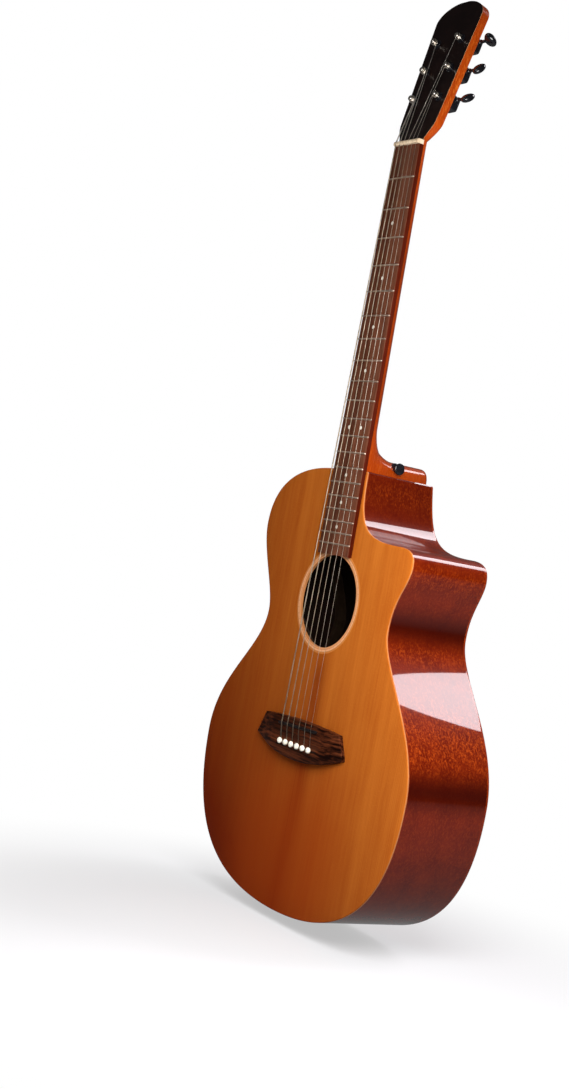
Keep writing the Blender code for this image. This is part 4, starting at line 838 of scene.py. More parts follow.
def tube(path: np.ndarray, radius: float, sides: int = 10,
         reference: Triple = (1.0, 0.0, 0.0)) -> tuple[np.ndarray, np.ndarray]:
    """Carry a circle along a path.

    Args:
        path: points of the centre line, as (n, 3).
        radius: the circle's radius.
        sides: corners of the circle.
        reference: direction that the line never points in, which fixes the circle's turn.

    Returns:
        The grid of points, and its sheet of lengths along and round, in metres.
    """
    ahead = np.gradient(path, axis=0)
    ahead /= np.linalg.norm(ahead, axis=1)[:, None]
    across = np.cross(ahead, np.array(reference, float))
    across /= np.linalg.norm(across, axis=1)[:, None]
    other = np.cross(ahead, across)
    angle = np.linspace(0, 2 * pi, sides + 1)
    ring = np.cos(angle)[None, :, None] * across[:, None] + np.sin(angle)[None, :, None] \
        * other[:, None]
    length = np.append(0, np.cumsum(np.linalg.norm(np.diff(path, axis=0), axis=1)))
    return path[:, None] + radius * ring, joined(length[:, None], radius * angle)


def dress(obj: bpy.types.Object, slot: Slot, body: str = ROOT, *nodes: str) -> None:
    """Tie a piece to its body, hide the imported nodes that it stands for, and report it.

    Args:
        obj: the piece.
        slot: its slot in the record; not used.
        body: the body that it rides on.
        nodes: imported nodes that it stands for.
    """
    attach(obj, body)
    if nodes:
        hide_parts(*nodes)
    LOG.info("%s: %d faces, on %s", obj.name, len(obj.data.polygons), body)


def paint_node(name: str, finish: Finish) -> None:
    """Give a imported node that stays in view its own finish."""
    for slot in frame["nodes"][name].material_slots:
        slot.material = finish.make()


# ---------------------------------------------------------------- shared layout


@dataclass(frozen=True)
class Layout:
    """Places that several sub-assemblies share."""

    scale: float = 0.648
    fret_count: int = 20
    body_fret: int = 14
    tail_z: float = 0.0125
    body_length: float = 0.4915
    front_y: float = -0.057
    nut_width: float = 0.0442
    body_fret_width: float = 0.0553
    board_thickness: float = 0.0065
    board_radius: float = 0.406
    nut_thickness: float = 0.0052
    head_tilt: float = radians(13)
    pin_spacing: float = 0.01134
    nut_spacing: float = 0.0073
    string_lift: float = 0.0012
    string_radii: tuple[float, ...] = (0.00068, 0.00054, 0.00042, 0.00031, 0.00021, 0.00016)
    seat_gap: float = 0.0003
    nut_offset: float = 0.0015
    board_past_fret: float = 0.0123
    board_over_hole: float = 0.00045
    hole: float = 0.0514
    bridge_height: float = 0.0085
    saddle_offset: float = 0.0012
    saddle_length: float = 0.0740
    saddle_slant: float = 0.0022
    saddle_height: float = 0.0110
    pin_setback: float = 0.0202
    head_length: float = 0.1720
    head_thick: float = 0.0108
    veneer_face: float = 0.0023
    heel_shelf: float = 0.0170

    @property
    def top_z(self) -> float:
        """Height of the body's neck end."""
        return self.tail_z + self.body_length

    @property
    def nut_z(self) -> float:
        """Height of the nut's lower face."""
        return self.top_z + self.scale * (1 - 2 ** (-self.body_fret / 12)) + self.nut_offset

    @property
    def board_end(self) -> float:
        """Height of the fingerboard's lower end."""
        return self.fret_z(self.fret_count) - self.board_past_fret

    @property
    def hole_z(self) -> float:
        """Height of the sound hole's centre."""
        return self.board_end + self.board_over_hole - self.hole

    @property
    def saddle_z(self) -> float:
        """Height of the saddle's middle."""
        return self.nut_z - self.scale - self.saddle_offset

    @property
    def pin_z(self) -> float:
        """Height of the row of bridge pins."""
        return self.saddle_z - self.pin_setback

    @property
    def head(self) -> Matrix:
        """Frame of the head: X across, Y out of its back, Z up it."""
        start = Vector((0, self.front_y, self.nut_z + self.nut_thickness + self.seat_gap))
        return Matrix.Translation(start) @ Matrix.Rotation(-self.head_tilt, 4, "X")

    def fret_z(self, number: float) -> float:
        """Height of a fret by the twelve-tone rule."""
        return self.nut_z - self.scale * (1 - 2 ** (-number / 12))

    def neck_half(self, z: float | np.ndarray) -> float | np.ndarray:
        """Half width of the neck and fingerboard at a height."""
        share = (self.nut_z - z) / (self.scale * (1 - 2 ** (-self.body_fret / 12)))
        return (self.nut_width + (self.body_fret_width - self.nut_width) * share) / 2

    def nut_string_y(self, index: int) -> float:
        """Height of a string's axis at the nut, bass string first."""
        return self.front_y - self.board_thickness - self.string_lift - self.string_radii[index]

    def pin_x(self, index: int) -> float:
        """Sideways place of a string at the bridge."""
        return (index - (STRINGS - 1) / 2) * self.pin_spacing

    def nut_x(self, index: int) -> float:
        """Sideways place of a string at the nut."""
        return (index - (STRINGS - 1) / 2) * self.nut_spacing


@dataclass(frozen=True)
class Post:
    """Place of one tuning machine: its side, its row up the head and its string's index."""

    side: int
    row: int
    index: int
    off_middle: float = 0.0212
    first_row: float = 0.0510
    row_step: float = 0.0355

    @property
    def number(self) -> int:
        """String number, 1 at the treble."""
        return STRINGS - self.index

    @property
    def x(self) -> float:
        """Sideways place of the post."""
        return self.side * self.off_middle

    @property
    def height(self) -> float:
        """Place of the post up the head."""
        return self.first_row + self.row_step * self.row


def posts() -> list[Post]:
    """Six machines, bass string first; three on each side of the head."""
    return [Post(-1, i, i) if i < STRINGS // 2 else Post(1, STRINGS - 1 - i, i)
            for i in range(STRINGS)]


# ---------------------------------------------------------------- body


@dataclass
class Body:
    """Soundboard, two bent sides and an arched back, round the sound hole."""

    plan: Layout
    board: float = 0.0028
    back: float = 0.0030
    wall: float = 0.0023
    lower_half: float = 0.1954
    upper_half: float = 0.1492
    corner: float = 0.0016
    deepest: float = 0.1140
    taper: float = 0.0035
    tuck: float = 0.0180
    arch: float = 12.0
    ring_margin: float = 0.0022
    ring_width: float = 0.0048
    ring_depth: float = 0.0012
    ring_gap: float = 0.00003
    ring_proud: float = 0.00006
    lip: float = 0.0004
    edge: float = 0.0010
    edge_band: float = 0.0019
    strip_half: float = 0.0016
    seam_half: float = 0.0009
    trim_depth: float = 0.0008
    samples: int = 720
    rib_points: int = 420
    rib_kept: int = 414
    sheet_width: float = 0.11
    stations: dict[int, list] = field(default_factory=dict)

    def __post_init__(self) -> None:
        """Set the stations of both half outlines: point, heading, reach behind, reach ahead."""
        low, length, top = self.plan.tail_z, self.plan.body_length, self.plan.top_z
        wide, upper = self.lower_half, self.upper_half
        lower = (wide, low + 0.3361 * length)
        self.stations[-1] = [
            ((0, low), (1, 0), 0, 0.7543 * wide),
            (lower, (0, 1), 0.1972 * length, 0.1414 * length),
            ((0.1137, low + 0.6531 * length), (0, 1), 0.0940 * length, 0.0517 * length),
            ((upper, low + 0.8519 * length), (0, 1), 0.0641 * length, 0.1044 * length),
            ((0.0336, top), (-1, 0), 0.4437 * upper, 0),
        ]
        self.stations[1] = [
            ((0, low), (1, 0), 0, 0.7543 * wide),
            (lower, (0, 1), 0.1972 * length, 0.1414 * length),
            ((0.1151, low + 0.6690 * length), (0, 1), 0.0787 * length, 0.0728 * length),
            ((0.1369, low + 0.8116 * length), (0, 1), 0.0393 * length, 0.0122 * length),
            ((0.1100, low + 0.8492 * length), (-1, 0), 0.0265, 0.0616),
            ((0.0299, low + 0.9878 * length), (0, 1), 0.1150 * length, 0),
        ]

    def half_line(self, side: int) -> np.ndarray:
        """Half outline from the tail's centre to the top's centre, as cubic curves.

        Args:
            side: 1 for the cutaway side, -1 for the bass side.

        Returns:
            Points of (x, z).
        """
        t = np.linspace(0, 1, 160, endpoint=False)[:, None]
        runs = []
        for (p, heading, _, ahead), (q, later, behind, _) in zip(self.stations[side],
                                                                 self.stations[side][1:]):
            p, q = np.array(p, float), np.array(q, float)
            a, b = p + np.array(heading) * ahead, q - np.array(later) * behind
            runs.append((1 - t) ** 3 * p + 3 * (1 - t) ** 2 * t * a + 3 * (1 - t) * t ** 2 * b
                        + t ** 3 * q)
        last = np.array(self.stations[side][-1][0])
        tail = [last]
        if side > 0:
            turn = np.linspace(0, pi / 2, 7)
            centre = np.array([last[0], self.plan.top_z]) - self.corner
            tail += list(centre + self.corner * np.stack([np.cos(turn), np.sin(turn)], 1))
        line = np.vstack(runs + [tail, [(0.0, self.plan.top_z)]])
        return line * (side, 1)

    def loop(self) -> tuple[np.ndarray, np.ndarray]:
        """Work out the closed outline, tail first and up the treble side.

        Returns:
            Points of (x, z), and their outward normals.
        """
        bass = self.half_line(-1)[::-1]
        line = np.vstack([self.half_line(1), bass[1:]])
        points, _ = even(line, self.samples + 1)
        wrapped = np.vstack([points[-3:-1], points, points[1:3]])
        slope = (wrapped[3:-1] - wrapped[1:-3]) + 0.5 * (wrapped[4:] - wrapped[:-4])
        normal = np.stack([slope[:, 1], -slope[:, 0]], 1)
        return points, normal / np.linalg.norm(normal, axis=1)[:, None]

    def back_y(self, x: np.ndarray, z: np.ndarray) -> np.ndarray:
        """Work out the back's outer face.

        Args:
            x: places across.
            z: heights.

        Returns:
            Depths, which fall in a line and a fifth power of the share of the body's length,
            and in a parabola of x.
        """
        share = (z - self.plan.tail_z) / self.plan.body_length
        return self.plan.front_y + self.deepest - self.taper * share - self.tuck * share ** 5 \
            - x ** 2 / self.arch

    def build_board(self) -> None:
        """Flat soundboard: rings round the hole run out to the rounded edge and back inside."""
        points, normal = self.loop()
        middle = np.array([0.0, self.plan.hole_z])
        spoke = points - middle
        spoke /= np.linalg.norm(spoke, axis=1)[:, None]
        front, hole, lip, soft = self.plan.front_y, self.plan.hole, self.lip, self.edge
        inside = front + self.board
        near = hole + self.ring_margin
        far = near + self.ring_width
        circles = [(hole, inside), (hole, front + lip), (hole + 0.3 * lip, front + 0.3 * lip),
                   (hole + lip, front), (near, front), (near, front + self.ring_depth),
                   (far, front + self.ring_depth), (far, front)]
        rows = [np.insert(middle + radius * spoke, 1, y, axis=1) for radius, y in circles]
        start = middle + far * spoke
        for share in (0.25, 0.5, 0.75, 0.92, 1.0):
            flat = start + share * (points - soft * normal - start)
            rows.append(np.insert(flat, 1, front, axis=1))
        for angle in np.linspace(0.2, 1.0, 5) * pi / 2:
            flat = points - soft * (1 - sin(angle)) * normal
            rows.append(np.insert(flat, 1, front + soft * (1 - cos(angle)), axis=1))
        rows.append(np.insert(points, 1, front + self.edge_band, axis=1))
        rows.append(np.insert(points, 1, inside, axis=1))
        rows.append(np.insert(middle + (hole + 0.02) * spoke, 1, inside, axis=1))
        rows.append(rows[0])
        grid = np.stack(rows).transpose(1, 0, 2)
        # the board's inner face wears the near-black brace wood, as painted shade
        zones = np.array([1] * 3 + [0] * 13 + [1, 1, 3, 2, 2])
        board = skin("soundboard_plate", grid, [TOP_WOOD, TOP_EDGE, BRACE_WOOD_PAINTED_SHADE, BACK_WOOD],
                     zones=zones)
        dress(board, Slot.TOP, ROOT, "soundboard")

    def build_rosette(self) -> None:
        """Inlaid ring: a rectangle with softened edges carried round the hole."""
        near = self.plan.hole + self.ring_margin + self.ring_gap
        far = near + self.ring_width - 2 * self.ring_gap
        deep, proud, soft = self.ring_depth - 0.0001, -self.ring_proud, 0.0002
        profile = [(near, deep), (near, 0.0), (near + soft, proud), (far - soft, proud),
                   (far, 0.0), (far, deep), (near, deep)]
        grid = turned(profile, 180)
        share = np.array([0, 0.02, 0.04, 0.96, 0.98, 1, 0])[:, None]
        way = np.linspace(0, 2 * pi * near, 181)[None]
        sheet = joined(way, share)
        place = Matrix.Translation((0, self.plan.front_y, self.plan.hole_z)) \
            @ Matrix.Rotation(-pi / 2, 4, "X")
        ring = skin("rosette_ring", moved(grid, place), [ROSETTE], sheet=sheet)
        dress(ring, Slot.INLAY, ROOT, "rosette")

    def build_ribs(self) -> None:
        """Two bent sides: a thin rectangle carried along each half outline."""
        for name, side in (("bass", -1), ("treble", 1)):
            line = self.half_line(side)
            points, length = even(line, self.rib_points)
            slope = np.gradient(points, axis=0)
            normal = side * np.stack([slope[:, 1], -slope[:, 0]], 1)
            normal /= np.linalg.norm(normal, axis=1)[:, None]
            normal[0], normal[-1] = (0, -1), (0, 1)
            points, normal, length = (part[:self.rib_kept] for part in (points, normal, length))
            front = self.plan.front_y + self.board
            rear = self.back_y(points[:, 0], points[:, 1]) - self.back
            steps = np.linspace(0, 1, 13)
            outer = [(points, front + (rear - front) * share) for share in steps]
            inner_line = points - self.wall * normal
            inner = [(inner_line, front + (rear - front) * share) for share in steps[::-3]]
            grid = np.stack([np.insert(flat, 1, y, axis=1)
                             for flat, y in outer + inner + outer[:1]], 1)
            across = np.concatenate([steps, steps[::-3], steps[:1]]) * self.sheet_width
            sheet = joined(length[:, None], across[None])
            zones = np.array([0] * 12 + [1] * 6)[:grid.shape[1] - 1]
            rib = skin(f"rib_{name}", grid, [SIDE_WOOD, RAW_WOOD_PAINTED_SHADE], caps=True, zones=zones,
                       sheet=sheet)
            dress(rib, Slot.SIDE, ROOT, f"side_{name}")

    def build_back(self) -> None:
        """Arched back: rows from its middle out to the rounded edge and back inside."""
        points, normal = self.loop()
        middle = np.array([0.0, self.plan.hole_z - self.plan.hole])
        soft = self.edge
        shares = [0.0, 0.12, 0.26, 0.4, 0.54, 0.68, 0.8, 0.9, 0.97, 1.0]
        rows = []
        for share in shares:
            flat = middle + share * (points - soft * normal - middle)
            rows.append(np.insert(flat, 1, self.back_y(*flat.T), axis=1))
        for angle in np.linspace(0.2, 1.0, 5) * pi / 2:
            flat = points - soft * (1 - sin(angle)) * normal
            rows.append(np.insert(flat, 1, self.back_y(*flat.T) - soft * (1 - cos(angle)), axis=1))
        for share in [1.0] + shares[-3::-2] + [0.0]:
            flat = middle + share * (points - middle)
            rows.append(np.insert(flat, 1, self.back_y(*flat.T) - self.back, axis=1))
        grid = np.stack(rows).transpose(1, 0, 2)
        zones = np.where(np.arange(grid.shape[1] - 1) < 15, 0, 1)
        panel = skin("back_panel", grid, [BACK_WOOD, RAW_WOOD_PAINTED_SHADE], zones=zones)
        dress(panel, Slot.SIDE, ROOT, "back_plate")

    def lay_strip(self, name: str, half: float, line: np.ndarray, out: Triple,
                  lift: Pair) -> None:
        """Lay a thin dark strip with softened edges along a line.

        Args:
            name: the piece's name.
            half: its half width.
            line: points of its middle.
            out: direction in which it faces.
            lift: how far its edges and its face stand out.
        """
        soft, way, (edge, face) = 0.0002, np.array(out), lift
        width = np.array([-half, soft - half, half - soft, half])
        rise = np.array([edge, face, face, edge])
        shape = width[:, None] * (1, 0, 0) + rise[:, None] * way
        front = line[:, None] + shape[None]
        grid = np.concatenate([front, front[:, ::-1] - self.trim_depth * way, front[:, :1]], 1)
        dress(skin(name, grid, [BOARD_WOOD], caps=True), Slot.ROSEWOOD)

    def build_trim(self) -> None:
        """Strips at the tail joint and down the middle of the back."""
        low = self.plan.tail_z
        front = self.plan.front_y + self.board
        rear = float(self.back_y(np.array(0.0), np.array(low))) - self.back
        y = np.linspace(front + 0.0001, rear - 0.0001, 24)
        tail = np.stack([np.zeros_like(y), y, np.full_like(y, low)], -1)
        self.lay_strip("tail_strip", self.strip_half, tail, (0, 0, -1), (-0.00034, 0.00006))
        z = np.linspace(low + 0.0014, self.plan.top_z - 0.0014, 90)
        seam = np.stack([np.zeros_like(z), self.back_y(np.zeros_like(z), z), z], -1)
        self.lay_strip("back_seam_strip", self.seam_half, seam, (0, 1, 0), (-0.0003, -0.00001))

    def build(self) -> None:
        """Build every piece of the body and dress the braces inside it."""
        self.build_board()
        self.build_rosette()
        self.build_ribs()
        self.build_back()
        self.build_trim()
        inside = ("back_brace", "x_brace", "upper_brace", "tone_bar", "lining", "neck_block",
                  "tail_block")
        # the braces, linings and blocks inside get the near-black brace wood, as painted shade
        for name in frame["nodes"]:
            if name.startswith(inside):
                paint_node(name, BRACE_WOOD_PAINTED_SHADE)
        paint_node("bridge_plate", BOARD_WOOD)


# ---------------------------------------------------------------- bridge


@dataclass
class Bridge:
    """Rosewood bridge with a belly and pointed wings, its saddle and its pins."""

    plan: Layout
    half: float = 0.084
    shoulder: float = 0.072
    flat_half: float = 0.042
    belly: float = 0.0165
    crest: float = 0.0285
    shoulder_rise: float = 0.0255
    tip_rise: float = 0.0020
    wing: float = 0.0042
    soft: float = 0.0012
    saddle_half_thick: float = 0.0015
    saddle_foot: float = 0.0055
    pin_head: float = 0.0033

    def section(self, x: np.ndarray) -> tuple[np.ndarray, np.ndarray, np.ndarray]:
        """Work out the bridge's section at places across.

        The lower edge is a parabola, the upper edge a shallow curve that turns to a straight
        wing, and the height eases down from the flat middle to the wings.

        Args:
            x: places across.

        Returns:
            Lower edge, upper edge and height at each place.
        """
        share = abs(x) / self.half
        low = self.belly * (share ** 2 - 1)
        inner = self.crest + (self.shoulder_rise - self.crest) * (x / self.shoulder) ** 2
        along = np.clip((abs(x) - self.shoulder) / (self.half - self.shoulder), 0, 1)
        outer = self.shoulder_rise + (self.tip_rise - self.shoulder_rise) * along
        high = np.where(abs(x) <= self.shoulder, inner, outer)
        fall = np.clip((abs(x) - self.flat_half) / (self.half - self.flat_half), 0, 1)
        height = self.plan.bridge_height
        tall = height + (self.wing - height) * fall * fall * (3 - 2 * fall)
        return self.plan.pin_z + low, self.plan.pin_z + high, tall

    def build_block(self) -> None:
        """Sections across the bridge: up one wall, over a rounded edge, across and down."""
        x = np.concatenate([np.linspace(-self.half, -self.shoulder, 12, endpoint=False),
                            np.linspace(-self.shoulder, self.shoulder, 60),
                            np.linspace(self.half, self.shoulder, 12, endpoint=False)[::-1]])
        low, high, tall = self.section(x)
        soft = np.minimum(self.soft, (high - low) / 4)
        foot = np.full_like(x, self.plan.front_y)
        top = self.plan.front_y - tall
        columns = [(low, foot), (low, top + soft)]
        for angle in (pi / 6, pi / 3, pi / 2):
            columns.append((low + soft * (1 - cos(angle)), top + soft * (1 - sin(angle))))
        for share in (0.25, 0.5, 0.75):
            columns.append((low + soft + (high - low - 2 * soft) * share, top))
        for angle in (pi / 2, pi / 3, pi / 6):
            columns.append((high - soft * (1 - cos(angle)), top + soft * (1 - sin(angle))))
        columns += [(high, top + soft), (high, foot), (low, foot)]
        grid = np.stack([np.stack([x, y, z], -1) for z, y in columns], 1)
        block = skin("bridge_block", grid, [BRIDGE_WOOD], caps=True)
        dress(block, Slot.ROSEWOOD, ROOT, "bridge")

    def build_saddle(self) -> None:
        """Saddle bar whose section ends in a rounded crest, with eased ends."""
        plan, thick, foot = self.plan, self.saddle_half_thick, self.saddle_foot
        angle = np.linspace(0, pi, 9)
        line = np.concatenate([[(-thick, foot)], np.stack(
            [-thick * np.cos(angle), plan.saddle_height - thick + thick * np.sin(angle)], 1),
            [(thick, foot), (-thick, foot)]])
        along = np.array([-1, -0.99, -0.97, -0.9, 0.9, 0.97, 0.99, 1]) * plan.saddle_length / 2
        ease = np.array([0.55, 0.85, 0.97, 1, 1, 0.97, 0.85, 0.55])
        z = line[None, :, 0] * ease[:, None]
        y = -(foot + (line[None, :, 1] - foot) * (0.75 + 0.25 * ease[:, None]))
        grid = joined(along[:, None], y, z)
        place = Matrix.Translation((0, plan.front_y, plan.saddle_z)) \
            @ Matrix.Rotation(-atan2(plan.saddle_slant, plan.saddle_length), 4, "Y")
        saddle = skin("saddle_bar", moved(grid, place), [DARK_BONE], caps=True)
        dress(saddle, Slot.SADDLE, ROOT, "saddle")

    def build_pins(self) -> None:
        """Six turned pins: a ball head over a collar and a tapered shank."""
        plan, head = self.plan, self.pin_head
        profile = [(head * cos(a), -0.0022 - 0.0018 * sin(a))
                   for a in np.linspace(pi / 2, 0.08, 9)]
        profile += [(head, -0.0010), (0.0031, -0.0006), (0.0025, -0.0004), (0.0025, 0.0),
                    (0.0019, 0.0212), (0.0012, 0.0220), (0.0, 0.0220)]
        for index in range(STRINGS):
            place = Matrix.Translation((plan.pin_x(index), plan.front_y - plan.bridge_height,
                                        plan.pin_z)) @ Matrix.Rotation(-pi / 2, 4, "X")
            number = STRINGS - index
            pin = skin(f"pin_{number}", moved(turned(profile, 32), place), [IVORY])
            dress(pin, Slot.PIN, ROOT, f"bridge_pin_{number}")

    def build(self) -> None:
        """Build the bridge's pieces."""
        self.build_block()
        self.build_saddle()
        self.build_pins()


# ---------------------------------------------------------------- neck


@dataclass
class Neck:
    """Neck with heel and head, fingerboard, frets, dots, nut and the head's veneer."""

    plan: Layout
    nut_depth: float = 0.0115
    heel_depth: float = 0.0140
    heel_middle: float = 0.0225
    heel_cap: float = 0.0150
    curve: float = 0.0310
    reach: float = 0.0955
    corner: float = 0.0060
    heel_power: float = 2.9
    neck_power: float = 2.0
    head_power: Pair = (2.2, 10.0)
    head_base: float = 0.0305
    head_top: float = 0.0398
    flare: float = 0.0220
    crown: float = 0.0220
    tilt_reach: float = 0.03
    line_back: float = 0.0018
    core_back: float = 0.0013
    veneer_edge: float = 0.0004
    board_edge: float = 0.0007
    fret_half: float = 0.0008
    fret_height: float = 0.00085
    dot_radius: float = 0.0020
    dot_offset: float = 0.011
    dot_frets: tuple[int, ...] = (3, 5, 7, 9, 15, 17, 19)
    octave_fret: int = 12
    side_dot_drop: float = 0.0034
    nut_height: float = 0.0091
    slot_margin: float = 0.0001

    @property
    def crown_start(self) -> float:
        """Place up the head where its arch starts."""
        return self.plan.head_length - self.crown

    def head_heights(self, first: float, counts: tuple[int, int, int]) -> np.ndarray:
        """Choose stations up the head, closer together in its flare and its arch.

        Args:
            first: angle in the arch of its first station.
            counts: stations in the flare, up to the arch and in the arch.

        Returns:
            Places up the head.
        """
        flare, straight, arch = counts
        rise = np.sin(np.linspace(first, radians(82), arch))
        return np.concatenate([np.linspace(0, self.flare, flare),
                               np.linspace(self.flare, self.crown_start, straight)[1:],
                               self.crown_start + self.crown * rise])

    def heel_half(self, y: np.ndarray) -> np.ndarray:
        """Work out the heel's half width.

        Args:
            y: depths.

        Returns:
            A parabola through the half widths at the top, the middle and the cap.
        """
        depth = (y - self.plan.front_y) / self.reach
        top, middle, cap = self.plan.neck_half(self.plan.top_z), self.heel_middle, self.heel_cap
        return top + (4 * middle - 3 * top - cap) * depth + (2 * (top + cap) - 4 * middle) \
            * depth ** 2

    def head_half(self, height: np.ndarray) -> np.ndarray:
        """Work out the head's half width.

        Args:
            height: places up the head.

        Returns:
            Half widths: a flare from the nut, a slow widening and a quarter ellipse.
        """
        start = self.crown_start
        base = self.head_base + (self.head_top - self.head_base) * height / start
        rise = np.sin(pi / 2 * np.clip(height / self.flare, 0, 1)) ** 1.5
        wide = self.plan.nut_width / 2 + (base - self.plan.nut_width / 2) * rise
        share = np.clip((height - start) / self.crown, 0, 1)
        return np.where(height > start, self.head_top * np.sqrt(1 - share ** 2), wide)

    def sections(self) -> tuple[np.ndarray, ...]:
        """Stations of the neck from the heel's cap to the head's crown.

        Returns:
            Origins, depth axes, half widths, depths and superellipse powers.
        """
        plan, heel = self.plan, self.heel_power
        front, foot, shelf = plan.front_y, plan.top_z + plan.seat_gap, plan.heel_shelf
        mid_y = front + self.heel_depth + self.curve
        mid_z = foot + shelf + self.curve
        cap_y = front + self.reach
        turn_y = cap_y - self.corner
        rows: list[tuple] = []
        for angle in np.linspace(pi / 2, 0, 10):
            y, loss = turn_y + self.corner * sin(angle), self.corner * (1 - cos(angle))
            rows.append(((0, y, foot), (0, 0, 1), float(self.heel_half(y)) - loss * 0.6,
                         shelf - loss, heel))
        for share in np.linspace(0.95, 0.05, 9):
            y = mid_y + (turn_y - mid_y) * share
            rows.append(((0, y, foot), (0, 0, 1), float(self.heel_half(y)), shelf, heel))
        bend = atan2(mid_z - foot, mid_y - front)
        for angle in np.linspace(pi / 2, 0, 26):
            flat = angle <= bend
            far = (mid_y - front) / cos(angle) if flat else (mid_z - foot) / sin(angle)
            y, z = mid_y - far * cos(angle), mid_z - far * sin(angle)
            half = float(plan.neck_half(z)) if flat else float(self.heel_half(y))
            power = self.neck_power + (heel - self.neck_power) * angle / (pi / 2)
            rows.append(((0, y, z), (0, cos(angle), sin(angle)), half, far - self.curve, power))
        for share in np.linspace(0.04, 1, 24):
            z = mid_z + (plan.nut_z - mid_z) * share
            depth = self.heel_depth + (self.nut_depth - self.heel_depth) * share
            rows.append(((0, front, z), (0, 1, 0), float(plan.neck_half(z)), depth,
                         self.neck_power))
        low_power, high_power = self.head_power
        for height in self.head_heights(0.1, (16, 14, 16)):
            share = min(1.0, height / self.tilt_reach)
            tilt = plan.head_tilt * share * share * (3 - 2 * share)
            power = low_power + (high_power - low_power) * min(1.0, height / self.flare)
            rows.append((tuple(plan.head @ Vector((0, 0, height))), (0, cos(tilt), -sin(tilt)),
                         float(self.head_half(np.array(height))), plan.head_thick, power))
        return tuple(np.array(column, float) for column in zip(*rows))

    def build_shaft(self) -> None:
        """Half superellipses stand on the flat front and are joined from cap to crown."""
        origin, axis, half, depth, power = self.sections()
        angle = np.linspace(0, pi, 49)
        bend = 2 / power[:, None]
        side = np.sign(np.cos(angle)) * abs(np.cos(angle)) ** bend * half[:, None]
        fall = np.maximum(np.sin(angle), 0) ** bend * depth[:, None]
        grid = origin[:, None] + fall[..., None] * axis[:, None]
        grid[..., 0] += side
        grid = np.concatenate([grid, grid[:, :1]], 1)
        neck = skin("neck_shaft", grid, [NECK_WOOD], caps=True, sharp=50)
        dress(neck, Slot.NECK, ROOT, "neck")
        paint_node("truss_rod", PLAIN_WIRE)

    def plate(self, name: str, low: float, high: float, soft: float,
              finish: Finish) -> bpy.types.Object:
        """Build a plate on the head's face: rows across it, with a rounded front edge.

        Args:
            name: the piece's name.
            low: front of the plate, counted back from the head's face.
            high: back of the plate.
            soft: radius of its front edge.
            finish: its finish.

        Returns:
            The plate.
        """
        heights = self.head_heights(0.05, (14, 12, 30))
        half = self.head_half(heights)
        share = np.sin(np.linspace(-1, 1, 41) * pi / 2)
        x = half[:, None] * share[None]
        gap = np.minimum(half[:, None] - abs(x), soft)
        ends = np.minimum(abs(heights - heights[-1]), soft)[:, None]
        gap = np.minimum(gap, ends)
        y = low + soft - np.sqrt(np.maximum(soft ** 2 - (soft - gap) ** 2, 0))
        face = joined(x, y, heights[:, None])
        rear = np.stack([x[:, -1], np.full_like(half, high), heights], -1)
        other = rear * (-1, 1, 1)
        grid = np.concatenate([face, rear[:, None], other[:, None], face[:, :1]], 1)
        return skin(name, moved(grid, self.plan.head), [finish], caps=True)

    def build_face(self) -> None:
        """Black veneer over a thin pale line and the wood's own edge."""
        thin = 0.0001
        face, line, core = -self.plan.veneer_face, -self.line_back, -self.core_back
        dress(self.plate("head_face", face, line, self.veneer_edge, FACE_VENEER),
              Slot.VENEER, ROOT, "head_veneer")
        dress(self.plate("head_line", line, core, thin, EDGE_LINE), Slot.INLAY)
        dress(self.plate("head_core", core, -thin, thin, NECK_WOOD), Slot.NECK)

    def board_section(self, z: np.ndarray, share: np.ndarray) -> tuple[np.ndarray, np.ndarray]:
        """Work out points of the cambered face.

        Args:
            z: heights.
            share: places across, from -1 to 1.

        Returns:
            Each point's x and y: the camber is x^2 over twice its radius.
        """
        half = self.plan.neck_half(z)[:, None]
        x = half * share[None]
        camber = x ** 2 / (2 * self.plan.board_radius)
        return x, self.plan.front_y - self.plan.board_thickness + camber

    def build_board(self) -> None:
        """Cambered fingerboard with softened edges."""
        z = np.linspace(self.plan.board_end, self.plan.nut_z, 60)
        share = np.array([-1, -0.995, -0.98, -0.95, -0.75, -0.5, -0.25, 0, 0.25, 0.5, 0.75, 0.95,
                          0.98, 0.995, 1])
        x, y = self.board_section(z, share)
        y = y + self.board_edge * np.clip((abs(share) - 0.95) / 0.05, 0, 1) ** 3
        face = joined(x, y, z[:, None])
        foot = face[:, [-1, 0]].copy()
        foot[..., 1] = self.plan.front_y
        grid = np.concatenate([face, foot, face[:, :1]], 1)
        zones = np.zeros(len(share) + 2, int)
        zones[[-3, -1]] = 1
        board = skin("finger_board", grid, [BOARD_WOOD, BOARD_SIDE], caps=True, zones=zones)
        dress(board, Slot.ROSEWOOD, ROOT, "fingerboard")

    def build_frets(self) -> None:
        """Twenty frets: a half round crown follows the camber and bows down at both ends."""
        share = np.array([-1, -0.99, -0.975, -0.95, -0.7, -0.4, 0, 0.4, 0.7, 0.95, 0.975, 0.99, 1])
        drop = np.array([0.15, 0.6, 0.88, 1, 1, 1, 1, 1, 1, 1, 0.88, 0.6, 0.15])
        angle = np.linspace(0, pi, 9)
        parts = []
        for number in range(1, self.plan.fret_count + 1):
            middle = self.plan.fret_z(number)
            x, y = self.board_section(np.array([middle]), share * 0.998)
            lift = drop[:, None] * self.fret_height * np.sin(angle)[None]
            z = middle + self.fret_half * np.cos(angle)[None] * (0.5 + 0.5 * drop[:, None])
            grid = joined(x[0][:, None], y[0][:, None] - lift, z)
            foot = grid[:, [-1, 0]] + (0, 0.0006, 0)
            grid = np.concatenate([grid, foot, grid[:, :1]], 1)
            parts.append(skin(f"fret_{number}", grid, [FRET_METAL], caps=True, sharp=60))
        dress(merged("frets", parts), Slot.STEEL)

